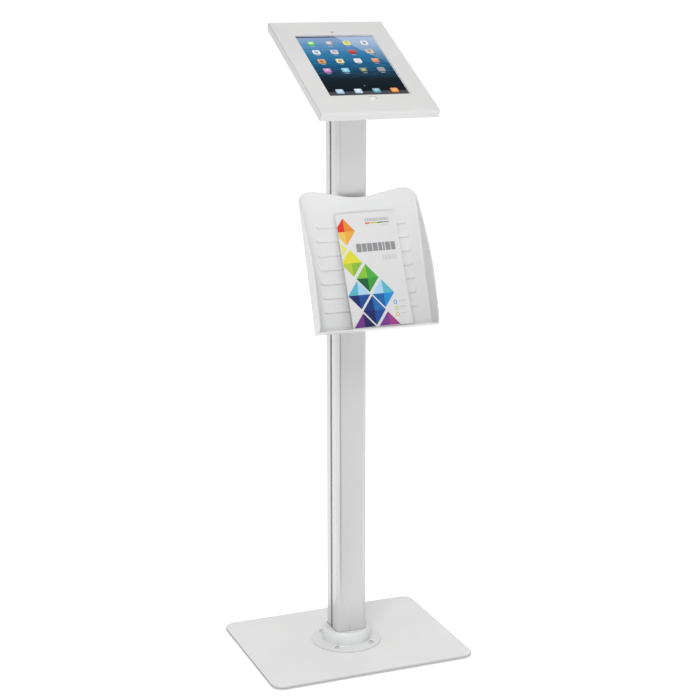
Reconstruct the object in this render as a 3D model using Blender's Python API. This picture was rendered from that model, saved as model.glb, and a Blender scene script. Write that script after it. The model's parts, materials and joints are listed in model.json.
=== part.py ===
"""Floor stand for a tablet: a locked enclosure on a slotted pole, with a leaflet holder.

Metres, +Z up. The origin is on the pole's axis, in the plane the stand rests on. The screen faces -Y.
Run with: blender --background --python part.py
"""

import math

import bmesh
import bpy
from mathutils import Matrix, Vector

MM = 0.001
GAP = 0.3 * MM  # between pieces that touch

# Base
MAT_SIZE = (376 * MM, 286 * MM)
MAT_THICK = 3 * MM
MAT_CORNER = 12 * MM
PLATE_SIZE = (400 * MM, 310 * MM)
PLATE_THICK = 5.2 * MM
PLATE_CORNER = 22 * MM
PLATE_LOW = MAT_THICK + GAP
PLATE_TOP = PLATE_LOW + PLATE_THICK

# Pole: a hollow extrusion with a T-slot in each side and a screw port in each corner
POLE_SIZE = (60 * MM, 60 * MM)
POLE_CORNER = 9 * MM
POLE_WALL = 2.2 * MM
POLE_LOW = PLATE_TOP + GAP
POLE_TOP = 1.019
SLOT_MOUTH = 8.5 * MM
CHANNEL_WIDTH = 17 * MM
CHANNEL_DEPTH = 6 * MM
CHANNEL_WALL = 1.8 * MM
PORT_PLACE = (22.9 * MM, 22.9 * MM)
PORT_OUTER = 4.8 * MM
PORT_BORE = 2.6 * MM
OUTLET_HEIGHT = 80 * MM
OUTLET_RADIUS = 10 * MM

# Collar round the pole's foot
COLLAR_RADIUS = 66.5 * MM
COLLAR_FLANGE = 3 * MM
COLLAR_HEIGHT = 28 * MM
COLLAR_FIT = 0.4 * MM
COLLAR_SCREW_CIRCLE = 54.5 * MM
COLLAR_SCREW_ANGLE = math.radians(40)

# Head: the tilt axis crosses the pole's axis
PIVOT_HEIGHT = 1.0495
FACE_TILT = math.radians(28.24)
CAP_THICK = 4 * MM
EAR_INNER = 18.2 * MM
EAR_THICK = 4 * MM
EAR_RADIUS = 13 * MM
TILT_BOLT_RADIUS = 4 * MM
KNUCKLE_HALF = 15 * MM
KNUCKLE_RADIUS = 12 * MM
SWIVEL_PLATE_SIDE = 80 * MM
SWIVEL_PLATE_THICK = 3 * MM
SWIVEL_BOLT_RADIUS = 4 * MM

# Enclosure, in the head's frame: X across, Y up the face, Z out of the face. Its origin is on the
# tilt axis, and the screen's centre is at X 0, Y 0.
FACE = 60.0 * MM
SHEET = 1.5 * MM
CASE_WIDTH = 217.5 * MM
CASE_UP = 147.9 * MM
CASE_DOWN = 153.7 * MM
CASE_DEPTH = 15.5 * MM
BEND_RADIUS = 4 * MM
BACK = FACE - CASE_DEPTH
WINDOW = (149.4 * MM, 198.7 * MM)
BUTTON_PLACE = -110.0 * MM
BUTTON_HOLE = 7.5 * MM
CAMERA_PLACE = 109.6 * MM
CAMERA_HOLE = 2.5 * MM
TRAY_FIT_SIDE = 0.4 * MM
TRAY_FIT_BOTTOM = 0.7 * MM
TRAY_SEAM = 1 * MM

# Tablet
TABLET = (185.7 * MM, 241.2 * MM)
TABLET_THICK = 9.4 * MM
TABLET_CORNER = 10 * MM
GLASS_THICK = 0.8 * MM
GLASS_TOP = FACE - SHEET - 0.5 * MM
TABLET_BACK = GLASS_TOP - TABLET_THICK
PANEL_SIZE = (158 * MM, 208 * MM)
PANEL_THICK = 1.8 * MM
BUTTON_RADIUS = 5.5 * MM

# Cover hinge and lock, in the head's frame
HINGE_PLACE = (CASE_UP + 1.6 * MM, BACK - 1.3 * MM)
KNUCKLE_OUTER = 2.75 * MM
HINGE_PIN_RADIUS = 1.25 * MM
HINGE_BORE = 1.45 * MM
LOCK_PLACE = -135.5 * MM
LOCK_RADIUS = 8 * MM
PLUG_RADIUS = 5.5 * MM
CAM_REACH = 11 * MM
CAM_WIDTH = 9.6 * MM
CAM_LOW = FACE - 5.5 * MM
CAM_THICK = 1.2 * MM

# Leaflet holder, in its own frame: X across, -Y out of the back panel, Z up the panel
HOLDER_FOOT = (-136 * MM, 648.5 * MM)
HOLDER_LEAN = math.radians(19.6)
HOLDER_WALL = 2.5 * MM
HOLDER_HALF = 111 * MM
HOLDER_FOLD = 4.5 * MM
HOLDER_TOP = 237 * MM
HOLDER_HUMP = 13.5 * MM
HUMP_PLACE = 90 * MM
WING_DEPTH = 35 * MM
WING_SPLAY = 0.01
WING_FULL = 90 * MM
FLOOR_DEPTH = 28 * MM
FLOOR_THICK = 3 * MM
LEAFLET = (114 * MM, 4 * MM, 207 * MM)
LEAFLET_PLACE = (10 * MM, -15.8 * MM, 1.4 * MM)
LEAFLET_LEAN = math.radians(3.9)
LEAFLET_TURN = math.radians(-0.8)
HOLDER_SCREW_PLACE = (20 * MM, 177 * MM)

# Bracket that carries the holder
BRACKET_INNER = POLE_SIZE[0] / 2 + 0.5 * MM
BRACKET_SHEET = 2 * MM
BRACKET_SPAN = (140 * MM, 225 * MM)
BRACKET_REAR = 9 * MM
RAIL_HEIGHT = 824 * MM
RAIL_SCREW_RADIUS = 3 * MM

# Colour, metallic, roughness
LOOKS = {
    "white_coat": ((0.80, 0.80, 0.79), 0.0, 0.38),
    "pole_coat": ((0.66, 0.67, 0.66), 0.15, 0.35),
    "white_plastic": ((0.84, 0.84, 0.84), 0.0, 0.30),
    "zinc_steel": ((0.62, 0.63, 0.64), 1.0, 0.35),
    "bright_steel": ((0.72, 0.72, 0.72), 1.0, 0.20),
    "black_rubber": ((0.03, 0.03, 0.03), 0.0, 0.80),
    "nylon": ((0.75, 0.74, 0.70), 0.0, 0.50),
    "aluminium": ((0.60, 0.61, 0.63), 1.0, 0.40),
    "circuit_green": ((0.02, 0.16, 0.07), 0.0, 0.50),
    "cell_black": ((0.04, 0.04, 0.05), 0.0, 0.45),
    "screen": ((0.05, 0.18, 0.40), 0.0, 0.15),
    "glass": ((0.90, 0.92, 0.93), 0.0, 0.05),
    "lens": ((0.01, 0.01, 0.02), 0.0, 0.05),
    "paper": ((0.86, 0.86, 0.86), 0.0, 0.60),
}


# ---------------------------------------------------------------- shapes


def arc(centre, radius, start, end, steps):
    """Points on an arc from start to end, in degrees."""
    angles = [math.radians(start + (end - start) * i / steps) for i in range(steps + 1)]
    return [(centre[0] + radius * math.cos(a), centre[1] + radius * math.sin(a)) for a in angles]


def rounded(width, depth, radius, steps=6, centre=(0, 0)):
    """Outline of a rectangle with round corners, anticlockwise."""
    x, y = width / 2 - radius, depth / 2 - radius
    corners = [(x, y, 0), (-x, y, 90), (-x, -y, 180), (x, -y, 270)]
    outline = []
    for cx, cy, start in corners:
        outline += arc((centre[0] + cx, centre[1] + cy), radius, start, start + 90, steps)
    return outline


def circle(radius, steps=24, centre=(0, 0)):
    return arc(centre, radius, 0, 360 * (steps - 1) / steps, steps - 1)


def loft(levels):
    """A closed solid through outlines of equal length: levels is a list of (outline, z)."""
    bm = bmesh.new()
    rings = [[bm.verts.new((x, y, z)) for x, y in outline] for outline, z in levels]
    bm.faces.new(list(reversed(rings[0])))
    bm.faces.new(rings[-1])
    for low, high in zip(rings, rings[1:]):
        for i in range(len(low)):
            j = (i + 1) % len(low)
            bm.faces.new((low[i], low[j], high[j], high[i]))
    bmesh.ops.recalc_face_normals(bm, faces=bm.faces)
    return bm


def prism(outline, low, high):
    return loft([(outline, low), (outline, high)])


def box(low, high):
    corners = [(low[0], low[1]), (high[0], low[1]), (high[0], high[1]), (low[0], high[1])]
    return prism(corners, low[2], high[2])


def turned(profile, steps=24):
    """A solid of revolution about Z. The profile is (radius, z), and starts and ends on the axis."""
    bm = bmesh.new()
    first = bm.verts.new((0, 0, profile[0][1]))
    last = bm.verts.new((0, 0, profile[-1][1]))
    rings = []
    for radius, z in profile[1:-1]:
        rings.append([bm.verts.new((x, y, z)) for x, y in circle(radius, steps)])
    for i in range(steps):
        j = (i + 1) % steps
        bm.faces.new((first, rings[0][j], rings[0][i]))
        bm.faces.new((last, rings[-1][i], rings[-1][j]))
        for low, high in zip(rings, rings[1:]):
            bm.faces.new((low[i], low[j], high[j], high[i]))
    bmesh.ops.recalc_face_normals(bm, faces=bm.faces)
    return bm


def cylinder(radius, low, high, steps=24):
    return turned([(0, low), (radius, low), (radius, high), (0, high)], steps)


def moved(bm, matrix):
    bm.transform(matrix)
    return bm


def shifted(bm, x=0.0, y=0.0, z=0.0):
    return moved(bm, Matrix.Translation((x, y, z)))


def across(bm):
    """Turns a shape so that its Z runs along X, its X along Y and its Y along Z."""
    return moved(bm, Matrix(((0, 0, 1, 0), (1, 0, 0, 0), (0, 1, 0, 0), (0, 0, 0, 1))))


def together(*parts):
    """Several separate shapes in one mesh, for a cutter."""
    whole = bmesh.new()
    for part in parts:
        mesh = bpy.data.meshes.new("part")
        part.to_mesh(mesh)
        part.free()
        whole.from_mesh(mesh)
        bpy.data.meshes.remove(mesh)
    return whole


def corners_of(place):
    """The four mirror images of a place (x, y)."""
    return [(sx * place[0], sy * place[1]) for sy in (-1, 1) for sx in (-1, 1)]


# ---------------------------------------------------------------- objects


def clear_scene():
    for obj in list(bpy.data.objects):
        bpy.data.objects.remove(obj, do_unlink=True)


def look(name):
    if name in bpy.data.materials:
        return bpy.data.materials[name]
    colour, metallic, roughness = LOOKS[name]
    material = bpy.data.materials.new(name)
    material.use_nodes = True
    shader = material.node_tree.nodes["Principled BSDF"]
    shader.inputs["Base Color"].default_value = (*colour, 1)
    shader.inputs["Metallic"].default_value = metallic
    shader.inputs["Roughness"].default_value = roughness
    material.diffuse_color = (*colour, 1)
    return material


def add_mesh(name, bm, parent):
    """An object from a shape given in the frame that holds the parent's axis."""
    if parent is not None and parent.parent is not None:
        bm.transform(Matrix.Translation(-Vector(parent.location)))
    mesh = bpy.data.meshes.new(name)
    bm.to_mesh(mesh)
    bm.free()
    obj = bpy.data.objects.new(name, mesh)
    bpy.context.collection.objects.link(obj)
    obj.parent = parent
    return obj


def solid(name, bm, look_name, parent=None):
    obj = add_mesh(name, bm, parent)
    obj.data.shade_smooth()
    obj.data.set_sharp_from_angle(angle=math.radians(32))
    obj.data.materials.append(look(look_name))
    return obj


def tool(name, bm, parent):
    obj = add_mesh(name, bm, parent)
    obj.hide_render = True
    obj.display_type = "WIRE"
    return obj


def combine(obj, operation, bm):
    """Cuts a shape from an object, or joins it on, with a Boolean."""
    number = sum(m.type == "BOOLEAN" for m in obj.modifiers) + 1
    helper = tool(f"{obj.name}_tool_{number}", bm, obj.parent)
    modifier = obj.modifiers.new(f"{operation.lower()}_{number}", "BOOLEAN")
    modifier.operation = operation
    modifier.solver = "EXACT"
    modifier.object = helper
    return helper


def cut(obj, bm):
    return combine(obj, "DIFFERENCE", bm)


def join(obj, bm):
    return combine(obj, "UNION", bm)


def axis_empty(name, location, parent=None, rotation_x=0.0):
    empty = bpy.data.objects.new(name, None)
    empty.empty_display_size = 20 * MM
    bpy.context.collection.objects.link(empty)
    empty.location = location
    empty.rotation_euler = (rotation_x, 0, 0)
    empty.parent = parent
    return empty


# ---------------------------------------------------------------- fasteners


def pan_screw(radius, length, head_radius, head_height):
    """Head on Z 0 and up, shank down."""
    return turned([(0, -length), (radius * 0.7, -length), (radius, -length + radius * 0.3), (radius, 0),
                   (head_radius, 0), (head_radius, head_height * 0.45),
                   (head_radius * 0.86, head_height * 0.8), (head_radius * 0.5, head_height),
                   (0, head_height)], 16)


def hex_socket(radius, depth, top):
    return prism(circle(radius, 6), top - depth, top + 1 * MM)


def countersunk(radius, length, head_radius):
    """Flat head face at Z 0, shank down. The cone is at 90 degrees."""
    edge = 0.4 * MM
    cone = head_radius - radius
    return turned([(0, -length), (radius, -length), (radius, -edge - cone), (head_radius, -edge),
                   (head_radius, 0), (0, 0)], 16)


def countersink_hole(radius, head_radius, top, bottom):
    """The hole for a countersunk screw whose head face is at Z 0."""
    cone = head_radius - radius
    edge = 0.4 * MM
    return turned([(0, bottom), (radius, bottom), (radius, -edge - cone), (head_radius, -edge),
                   (head_radius, top), (0, top)], 16)


def nut(across_flats, bore, low, high):
    """A hexagon with a bore: the ring is bridged, so it needs no cutter."""
    steps = 24
    outer = []
    for i in range(steps):
        angle = 2 * math.pi * i / steps
        from_flat = (angle + math.pi / 6) % (math.pi / 3) - math.pi / 6
        reach = across_flats / 2 / math.cos(from_flat)
        outer.append((reach * math.cos(angle), reach * math.sin(angle)))
    return ring(outer, circle(bore, steps), low, high)


def ring(outer, inner, low, high):
    """A solid between two outlines of equal length."""
    bm = bmesh.new()
    loops = [[bm.verts.new((x, y, z)) for x, y in outline]
             for outline, z in ((outer, low), (outer, high), (inner, high), (inner, low))]
    for here, there in zip(loops, loops[1:] + loops[:1]):
        for i in range(len(here)):
            j = (i + 1) % len(here)
            bm.faces.new((here[i], here[j], there[j], there[i]))
    bmesh.ops.recalc_face_normals(bm, faces=bm.faces)
    return bm


# ---------------------------------------------------------------- stand


def make_base():
    solid("floor_mat", prism(rounded(*MAT_SIZE, MAT_CORNER), 0, MAT_THICK), "black_rubber")
    edge = 0.8 * MM
    full = rounded(*PLATE_SIZE, PLATE_CORNER, 8)
    inset = rounded(PLATE_SIZE[0] - 2 * edge, PLATE_SIZE[1] - 2 * edge, PLATE_CORNER - edge, 8)
    plate = solid("base_plate", loft([(full, PLATE_LOW), (full, PLATE_TOP - edge), (inset, PLATE_TOP)]),
                  "white_coat")
    holes = []
    for x, y in corners_of(PORT_PLACE):
        hole = countersink_hole(2.9 * MM, 5.8 * MM, 2 * MM, -8 * MM)
        hole = moved(hole, Matrix.Rotation(math.pi, 4, "X"))
        holes.append(shifted(hole, x, y, PLATE_LOW + GAP))
    for x, y in collar_screw_places():
        holes.append(shifted(cylinder(2.6 * MM, PLATE_LOW - 1 * MM, PLATE_TOP + 1 * MM, 16), x, y))
    cut(plate, together(*holes))


def make_pole():
    width, depth = POLE_SIZE
    pole = solid("pole", prism(rounded(width, depth, POLE_CORNER, 8), POLE_LOW, POLE_TOP), "pole_coat")
    over = 10 * MM
    low, high = POLE_LOW - over, POLE_TOP + over
    inner_x = width / 2 - POLE_WALL
    void = cut(pole, prism(rounded(width - 2 * POLE_WALL, depth - 2 * POLE_WALL, POLE_CORNER - POLE_WALL, 8),
                           low, high))
    keep = []
    channel_in = inner_x - CHANNEL_DEPTH
    for side in (-1, 1):
        xs = sorted((side * (channel_in - CHANNEL_WALL), side * (inner_x + over)))
        half = CHANNEL_WIDTH / 2 + CHANNEL_WALL
        keep.append(box((xs[0], -half, low - over), (xs[1], half, high + over)))
    for x, y in corners_of(PORT_PLACE):
        keep.append(shifted(cylinder(PORT_OUTER, low - over, high + over, 16), x, y))
    cut(void, together(*keep))
    bores = []
    mouth, channel = SLOT_MOUTH / 2, CHANNEL_WIDTH / 2
    for side in (-1, 1):
        slot = [(channel_in, -channel), (inner_x, -channel), (inner_x, -mouth), (inner_x + over, -mouth),
                (inner_x + over, mouth), (inner_x, mouth), (inner_x, channel), (channel_in, channel)]
        bores.append(prism([(side * x, y) for x, y in slot], low, high))
    for x, y in corners_of(PORT_PLACE):
        bores.append(shifted(cylinder(PORT_BORE, low, high, 12), x, y))
    cut(pole, together(*bores))
    outlet = cylinder(OUTLET_RADIUS, 0, 2 * over)
    cut(pole, shifted(moved(outlet, Matrix.Rotation(-math.pi / 2, 4, "X")),
                      y=depth / 2 - over / 2, z=OUTLET_HEIGHT))
    for number, (x, y) in enumerate(corners_of(PORT_PLACE), 1):
        bolt = moved(countersunk(2.3 * MM, 24 * MM, 5.2 * MM), Matrix.Rotation(math.pi, 4, "X"))
        solid(f"pole_bolt_{number}", shifted(bolt, x, y, PLATE_LOW + GAP), "zinc_steel")


def make_outlet_plug():
    """Closes the cable outlet at the pole's rear, near its foot. A groove holds the wall."""
    wall_out = POLE_SIZE[1] / 2
    wall_in = wall_out - POLE_WALL
    profile = [(0, wall_in - 3 * MM), (8.6 * MM, wall_in - 3 * MM), (11 * MM, wall_in - 1.2 * MM),
               (11 * MM, wall_in - GAP), (OUTLET_RADIUS - GAP, wall_in - GAP),
               (OUTLET_RADIUS - GAP, wall_out + GAP), (13 * MM, wall_out + GAP),
               (13 * MM, wall_out + 1 * MM), (11.4 * MM, wall_out + 1.9 * MM), (0, wall_out + 1.9 * MM)]
    plug = moved(turned(profile, 24), Matrix.Rotation(-math.pi / 2, 4, "X"))
    solid("cable_outlet_plug", shifted(plug, z=OUTLET_HEIGHT), "black_rubber")


def collar_screw_places():
    places = []
    for base in (-90, 90):
        for turn in (-COLLAR_SCREW_ANGLE, COLLAR_SCREW_ANGLE):
            angle = math.radians(base) + turn
            places.append((COLLAR_SCREW_CIRCLE * math.cos(angle), COLLAR_SCREW_CIRCLE * math.sin(angle)))
    return places


def make_collar():
    low = PLATE_TOP + GAP
    flange = low + COLLAR_FLANGE
    top = low + COLLAR_HEIGHT
    profile = [(0, low), (COLLAR_RADIUS, low), (COLLAR_RADIUS, flange - 0.8 * MM),
               (COLLAR_RADIUS - 0.8 * MM, flange), (46.4 * MM, flange), (45.6 * MM, flange + 1.2 * MM),
               (46.0 * MM, flange + 5 * MM), (46.3 * MM, flange + 10 * MM), (46.0 * MM, flange + 15 * MM),
               (45.2 * MM, flange + 19 * MM), (43.6 * MM, top - 2.4 * MM), (42.4 * MM, top - 0.6 * MM),
               (41.4 * MM, top), (0, top)]
    collar = solid("pole_collar", turned(profile, 48), "white_plastic")
    width, depth = (side + 2 * COLLAR_FIT for side in POLE_SIZE)
    cutters = [prism(rounded(width, depth, POLE_CORNER + COLLAR_FIT, 8), low - 5 * MM, top + 5 * MM)]
    for x, y in collar_screw_places():
        cutters.append(shifted(cylinder(2.7 * MM, low - 1 * MM, flange + 1 * MM, 16), x, y))
    cut(collar, together(*cutters))
    for number, (x, y) in enumerate(collar_screw_places(), 1):
        screw = solid(f"collar_screw_{number}",
                      shifted(pan_screw(2.3 * MM, 6.3 * MM, 4.5 * MM, 2.8 * MM), x, y, flange + GAP),
                      "bright_steel")
        cut(screw, shifted(hex_socket(1.5 * MM, 1.5 * MM, 2.8 * MM), x, y, flange + GAP))


# ---------------------------------------------------------------- head


def make_head_base():
    """Caps the pole and carries two ears for the tilt axis."""
    low = POLE_TOP + GAP
    top = low + CAP_THICK
    edge = 0.6 * MM
    full = rounded(*POLE_SIZE, POLE_CORNER, 8)
    inset = rounded(POLE_SIZE[0] - 2 * edge, POLE_SIZE[1] - 2 * edge, POLE_CORNER - edge, 8)
    base = solid("head_base", loft([(full, low), (full, top - edge), (inset, top)]), "zinc_steel")
    for side in (-1, 1):
        outline = [(-EAR_RADIUS, low + 1 * MM), (EAR_RADIUS, low + 1 * MM)]
        outline += arc((0, PIVOT_HEIGHT), EAR_RADIUS, 0, 180, 12)
        xs = sorted((side * EAR_INNER, side * (EAR_INNER + EAR_THICK)))
        join(base, across(prism(outline, xs[0], xs[1])))
    bore = across(cylinder(TILT_BOLT_RADIUS + GAP, -40 * MM, 40 * MM))
    holes = [shifted(bore, z=PIVOT_HEIGHT)]
    for x, y in corners_of(PORT_PLACE):
        holes.append(shifted(countersink_hole(2.9 * MM, 5.0 * MM, 1 * MM, -8 * MM), x, y, top - GAP))
    cut(base, together(*holes))
    for number, (x, y) in enumerate(corners_of(PORT_PLACE), 1):
        screw = countersunk(2.3 * MM, 22 * MM, 4.6 * MM)
        solid(f"head_base_screw_{number}", shifted(screw, x, y, top - GAP), "zinc_steel")


def make_tilt_axle():
    """The bolt through the ears, its nut and washers, and the friction discs beside the knuckle."""
    washer_in = EAR_INNER + EAR_THICK + GAP
    washer_out = washer_in + 1.6 * MM
    head_in = washer_out + GAP
    bolt = turned([(0, -head_in - 5.3 * MM), (5.5 * MM, -head_in - 5.3 * MM), (6.5 * MM, -head_in - 4.6 * MM),
                   (6.5 * MM, -head_in), (TILT_BOLT_RADIUS, -head_in), (TILT_BOLT_RADIUS, head_in + 8 * MM),
                   (TILT_BOLT_RADIUS - 0.8 * MM, head_in + 9 * MM), (0, head_in + 9 * MM)], 24)
    bolt = solid("tilt_bolt", shifted(across(bolt), z=PIVOT_HEIGHT), "zinc_steel")
    socket = prism(circle(3 * MM, 6), -head_in - 8 * MM, -head_in - 2 * MM)
    cut(bolt, shifted(across(socket), z=PIVOT_HEIGHT))
    solid("tilt_nut", shifted(across(nut(13 * MM, TILT_BOLT_RADIUS + GAP, head_in, head_in + 7 * MM)),
                              z=PIVOT_HEIGHT), "zinc_steel")
    bore = circle(TILT_BOLT_RADIUS + GAP)
    spots = [("tilt_washer_left", -washer_out, -washer_in, 8 * MM, "zinc_steel"),
             ("tilt_washer_right", washer_in, washer_out, 8 * MM, "zinc_steel"),
             ("friction_disc_left", -EAR_INNER + 0.4 * MM, -KNUCKLE_HALF - GAP, 12 * MM, "nylon"),
             ("friction_disc_right", KNUCKLE_HALF + GAP, EAR_INNER - 0.4 * MM, 12 * MM, "nylon")]
    for name, low, high, radius, finish in spots:
        solid(name, shifted(across(ring(circle(radius), bore, low, high)), z=PIVOT_HEIGHT), finish)


def make_tilt_knuckle(tilt_axis):
    plate_top = BACK - 2 * MM
    plate_low = plate_top - SWIVEL_PLATE_THICK
    neck = 14.5 * MM
    knuckle = solid("tilt_knuckle", box((-neck, -10.5 * MM, 1 * MM), (neck, 10.5 * MM, plate_low + 1 * MM)),
                    "zinc_steel", tilt_axis)
    join(knuckle, across(cylinder(KNUCKLE_RADIUS, -KNUCKLE_HALF, KNUCKLE_HALF, 32)))
    join(knuckle, prism(rounded(SWIVEL_PLATE_SIDE, SWIVEL_PLATE_SIDE, 8 * MM), plate_low, plate_top))
    cut(knuckle, together(across(cylinder(TILT_BOLT_RADIUS + GAP, -40 * MM, 40 * MM)),
                          cylinder(SWIVEL_BOLT_RADIUS + GAP, plate_top - 22 * MM, plate_top + 2 * MM)))
    solid("swivel_washer", ring(circle(30 * MM, 32), circle(SWIVEL_BOLT_RADIUS + GAP, 32),
                                plate_top + GAP, BACK - GAP), "nylon", tilt_axis)
    head_low = BACK + SHEET + GAP
    solid("swivel_bolt", turned([(0, plate_top - 20 * MM), (SWIVEL_BOLT_RADIUS, plate_top - 20 * MM),
                                 (SWIVEL_BOLT_RADIUS, head_low), (10 * MM, head_low),
                                 (10 * MM, head_low + 0.9 * MM), (9 * MM, head_low + 1.6 * MM),
                                 (0, head_low + 1.6 * MM)]), "zinc_steel", tilt_axis)


# ---------------------------------------------------------------- enclosure


def knuckle_outline(offsets, start, end):
    """A hinge knuckle's circle with a tab: offsets are the tab's two far corners from the axis."""
    points = arc((0, 0), KNUCKLE_OUTER, start, end, 14)
    return [(HINGE_PLACE[0] + y, HINGE_PLACE[1] + z) for y, z in [offsets[0]] + points + [offsets[1]]]


def hinge_bore():
    bore = across(cylinder(HINGE_BORE, -70 * MM, 70 * MM, 16))
    return shifted(bore, y=HINGE_PLACE[0], z=HINGE_PLACE[1])


def make_rear_tray(spin_axis):
    up = CASE_UP - SHEET - TRAY_FIT_SIDE
    down = CASE_DOWN - SHEET - TRAY_FIT_BOTTOM
    middle = (0, (up - down) / 2)
    top = FACE - SHEET - TRAY_SEAM
    outer = rounded(CASE_WIDTH, up + down, 2 * MM, 3, middle)
    inner = rounded(CASE_WIDTH - 2 * SHEET, up + down - 2 * SHEET, 0.8 * MM, 3, middle)
    tray = solid("rear_tray", prism(outer, BACK, top), "white_coat", spin_axis)
    ends = [box((-CASE_WIDTH, min(y0, y1), FACE - BEND_RADIUS - GAP), (CASE_WIDTH, max(y0, y1), top + 5 * MM))
            for y0, y1 in ((up - 3 * MM, up + 5 * MM), (-down + 3 * MM, -down - 5 * MM))]
    cut(tray, prism(inner, BACK + SHEET, top + 5 * MM))
    cut(tray, together(*ends))
    tab_low, tab_high = 1.4 * MM, 2.7 * MM
    start = 180 - math.degrees(math.asin(tab_low / KNUCKLE_OUTER))
    end = 540 - math.degrees(math.asin(tab_high / KNUCKLE_OUTER))
    reach = HINGE_PLACE[0] - up + 1 * MM
    outline = knuckle_outline([(-reach, tab_low), (-reach, tab_high)], start, end)
    join(tray, across(prism(outline, -30 * MM, 30 * MM)))
    cut(tray, together(hinge_bore(),
                       cylinder(SWIVEL_BOLT_RADIUS + GAP, BACK - 2 * MM, BACK + 4 * MM),
                       shifted(cylinder(LOCK_RADIUS + GAP, BACK - 2 * MM, BACK + 4 * MM), y=LOCK_PLACE)))
    pin = turned([(0, -60 * MM), (0.9 * MM, -60 * MM), (HINGE_PIN_RADIUS, -59.6 * MM),
                  (HINGE_PIN_RADIUS, 59.6 * MM), (0.9 * MM, 60 * MM), (0, 60 * MM)], 12)
    solid("hinge_pin", shifted(across(pin), y=HINGE_PLACE[0], z=HINGE_PLACE[1]), "bright_steel", spin_axis)


def make_front_cover(cover_axis):
    """One folded sheet: the face and a flange at the top and the bottom, round at the bends."""
    inner_bend = BEND_RADIUS - SHEET
    bend_z = FACE - BEND_RADIUS
    flange_end = BACK + 1 * MM
    high, low = CASE_UP - BEND_RADIUS, BEND_RADIUS - CASE_DOWN
    outline = [(CASE_UP, flange_end)]
    outline += arc((high, bend_z), BEND_RADIUS, 0, 90, 6)
    outline += arc((low, bend_z), BEND_RADIUS, 90, 180, 6)
    outline += [(-CASE_DOWN, flange_end), (SHEET - CASE_DOWN, flange_end)]
    outline += arc((low, bend_z), inner_bend, 180, 90, 6)
    outline += arc((high, bend_z), inner_bend, 90, 0, 6)
    outline += [(CASE_UP - SHEET, flange_end)]
    half = CASE_WIDTH / 2
    cover = solid("front_cover", across(prism(outline, -half, half)), "white_coat", cover_axis)
    over = 5 * MM
    notch = box((-30.8 * MM, CASE_UP - 4 * MM, flange_end - over), (30.8 * MM, CASE_UP + 4 * MM, BACK + 3.5 * MM))
    cut(cover, together(prism(rounded(*WINDOW, 1 * MM, 3), FACE - over, FACE + over),
                        shifted(cylinder(BUTTON_HOLE, FACE - over, FACE + over, 32), y=BUTTON_PLACE),
                        shifted(cylinder(CAMERA_HOLE, FACE - over, FACE + over, 16), y=CAMERA_PLACE),
                        notch))
    tab_in, tab_out = -2.9 * MM, -1.8 * MM
    tab_end = BACK + 3 * MM - HINGE_PLACE[1]
    end = 360 + math.degrees(math.acos(tab_out / KNUCKLE_OUTER))
    outline = knuckle_outline([(tab_in, tab_end), (tab_out, tab_end)], 180, end)
    outline.insert(1, (HINGE_PLACE[0] + tab_in, HINGE_PLACE[1]))
    for side in (-1, 1):
        xs = sorted((side * 31.2 * MM, side * 58.5 * MM))
        join(cover, across(prism(outline, xs[0], xs[1])))
    cut(cover, hinge_bore())


def make_lock_catch(cover_axis):
    """A channel under the cover's lower edge that the cam turns into."""
    top = FACE - SHEET - GAP
    outer, lip = -149.5 * MM, -142 * MM
    sheet = SHEET
    low = CAM_LOW - 3 * MM
    outline = [(outer, low), (lip, low), (lip, low + sheet), (outer + sheet, low + sheet),
               (outer + sheet, top - sheet), (lip, top - sheet), (lip, top), (outer, top)]
    solid("lock_catch", across(prism(outline, -12 * MM, 12 * MM)), "zinc_steel", cover_axis)


def make_lock(spin_axis, lock_axis):
    face_low = BACK - GAP - 2 * MM
    inner_end = BACK + 6 * MM
    outline_bore = PLUG_RADIUS + GAP
    body = solid("lock_body", shifted(turned(
        [(0, face_low), (9.2 * MM, face_low), (10 * MM, face_low + 0.8 * MM), (10 * MM, BACK - GAP),
         (LOCK_RADIUS, BACK - GAP), (LOCK_RADIUS, inner_end), (0, inner_end)]), y=LOCK_PLACE),
        "bright_steel", spin_axis)
    cut(body, shifted(cylinder(outline_bore, face_low - 2 * MM, inner_end + 2 * MM), y=LOCK_PLACE))
    nut_low = BACK + SHEET + GAP
    solid("lock_nut", shifted(nut(20 * MM, LOCK_RADIUS + GAP, nut_low, nut_low + 2.5 * MM), y=LOCK_PLACE),
          "zinc_steel", spin_axis)
    plug_low = face_low - 0.3 * MM
    plug = solid("lock_plug", shifted(turned(
        [(0, plug_low), (PLUG_RADIUS, plug_low), (PLUG_RADIUS, CAM_LOW - 2.6 * MM),
         (3 * MM, CAM_LOW - 2.6 * MM), (3 * MM, CAM_LOW + CAM_THICK + 0.8 * MM),
         (0, CAM_LOW + CAM_THICK + 0.8 * MM)]), y=LOCK_PLACE), "bright_steel", lock_axis)
    cut(plug, shifted(box((-3.2 * MM, -0.6 * MM, plug_low - 2 * MM), (3.2 * MM, 0.6 * MM, plug_low + 2.5 * MM)),
                      y=LOCK_PLACE))
    back_end = 5 * MM
    outline = rounded(CAM_REACH + back_end, CAM_WIDTH, CAM_WIDTH / 2 - 0.1 * MM, 6,
                      ((CAM_REACH - back_end) / 2, LOCK_PLACE))
    cam = solid("lock_cam", prism(outline, CAM_LOW, CAM_LOW + CAM_THICK), "zinc_steel", lock_axis)
    cut(cam, shifted(cylinder(3.3 * MM, CAM_LOW - 2 * MM, CAM_LOW + 4 * MM, 16), y=LOCK_PLACE))


# ---------------------------------------------------------------- tablet


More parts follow.
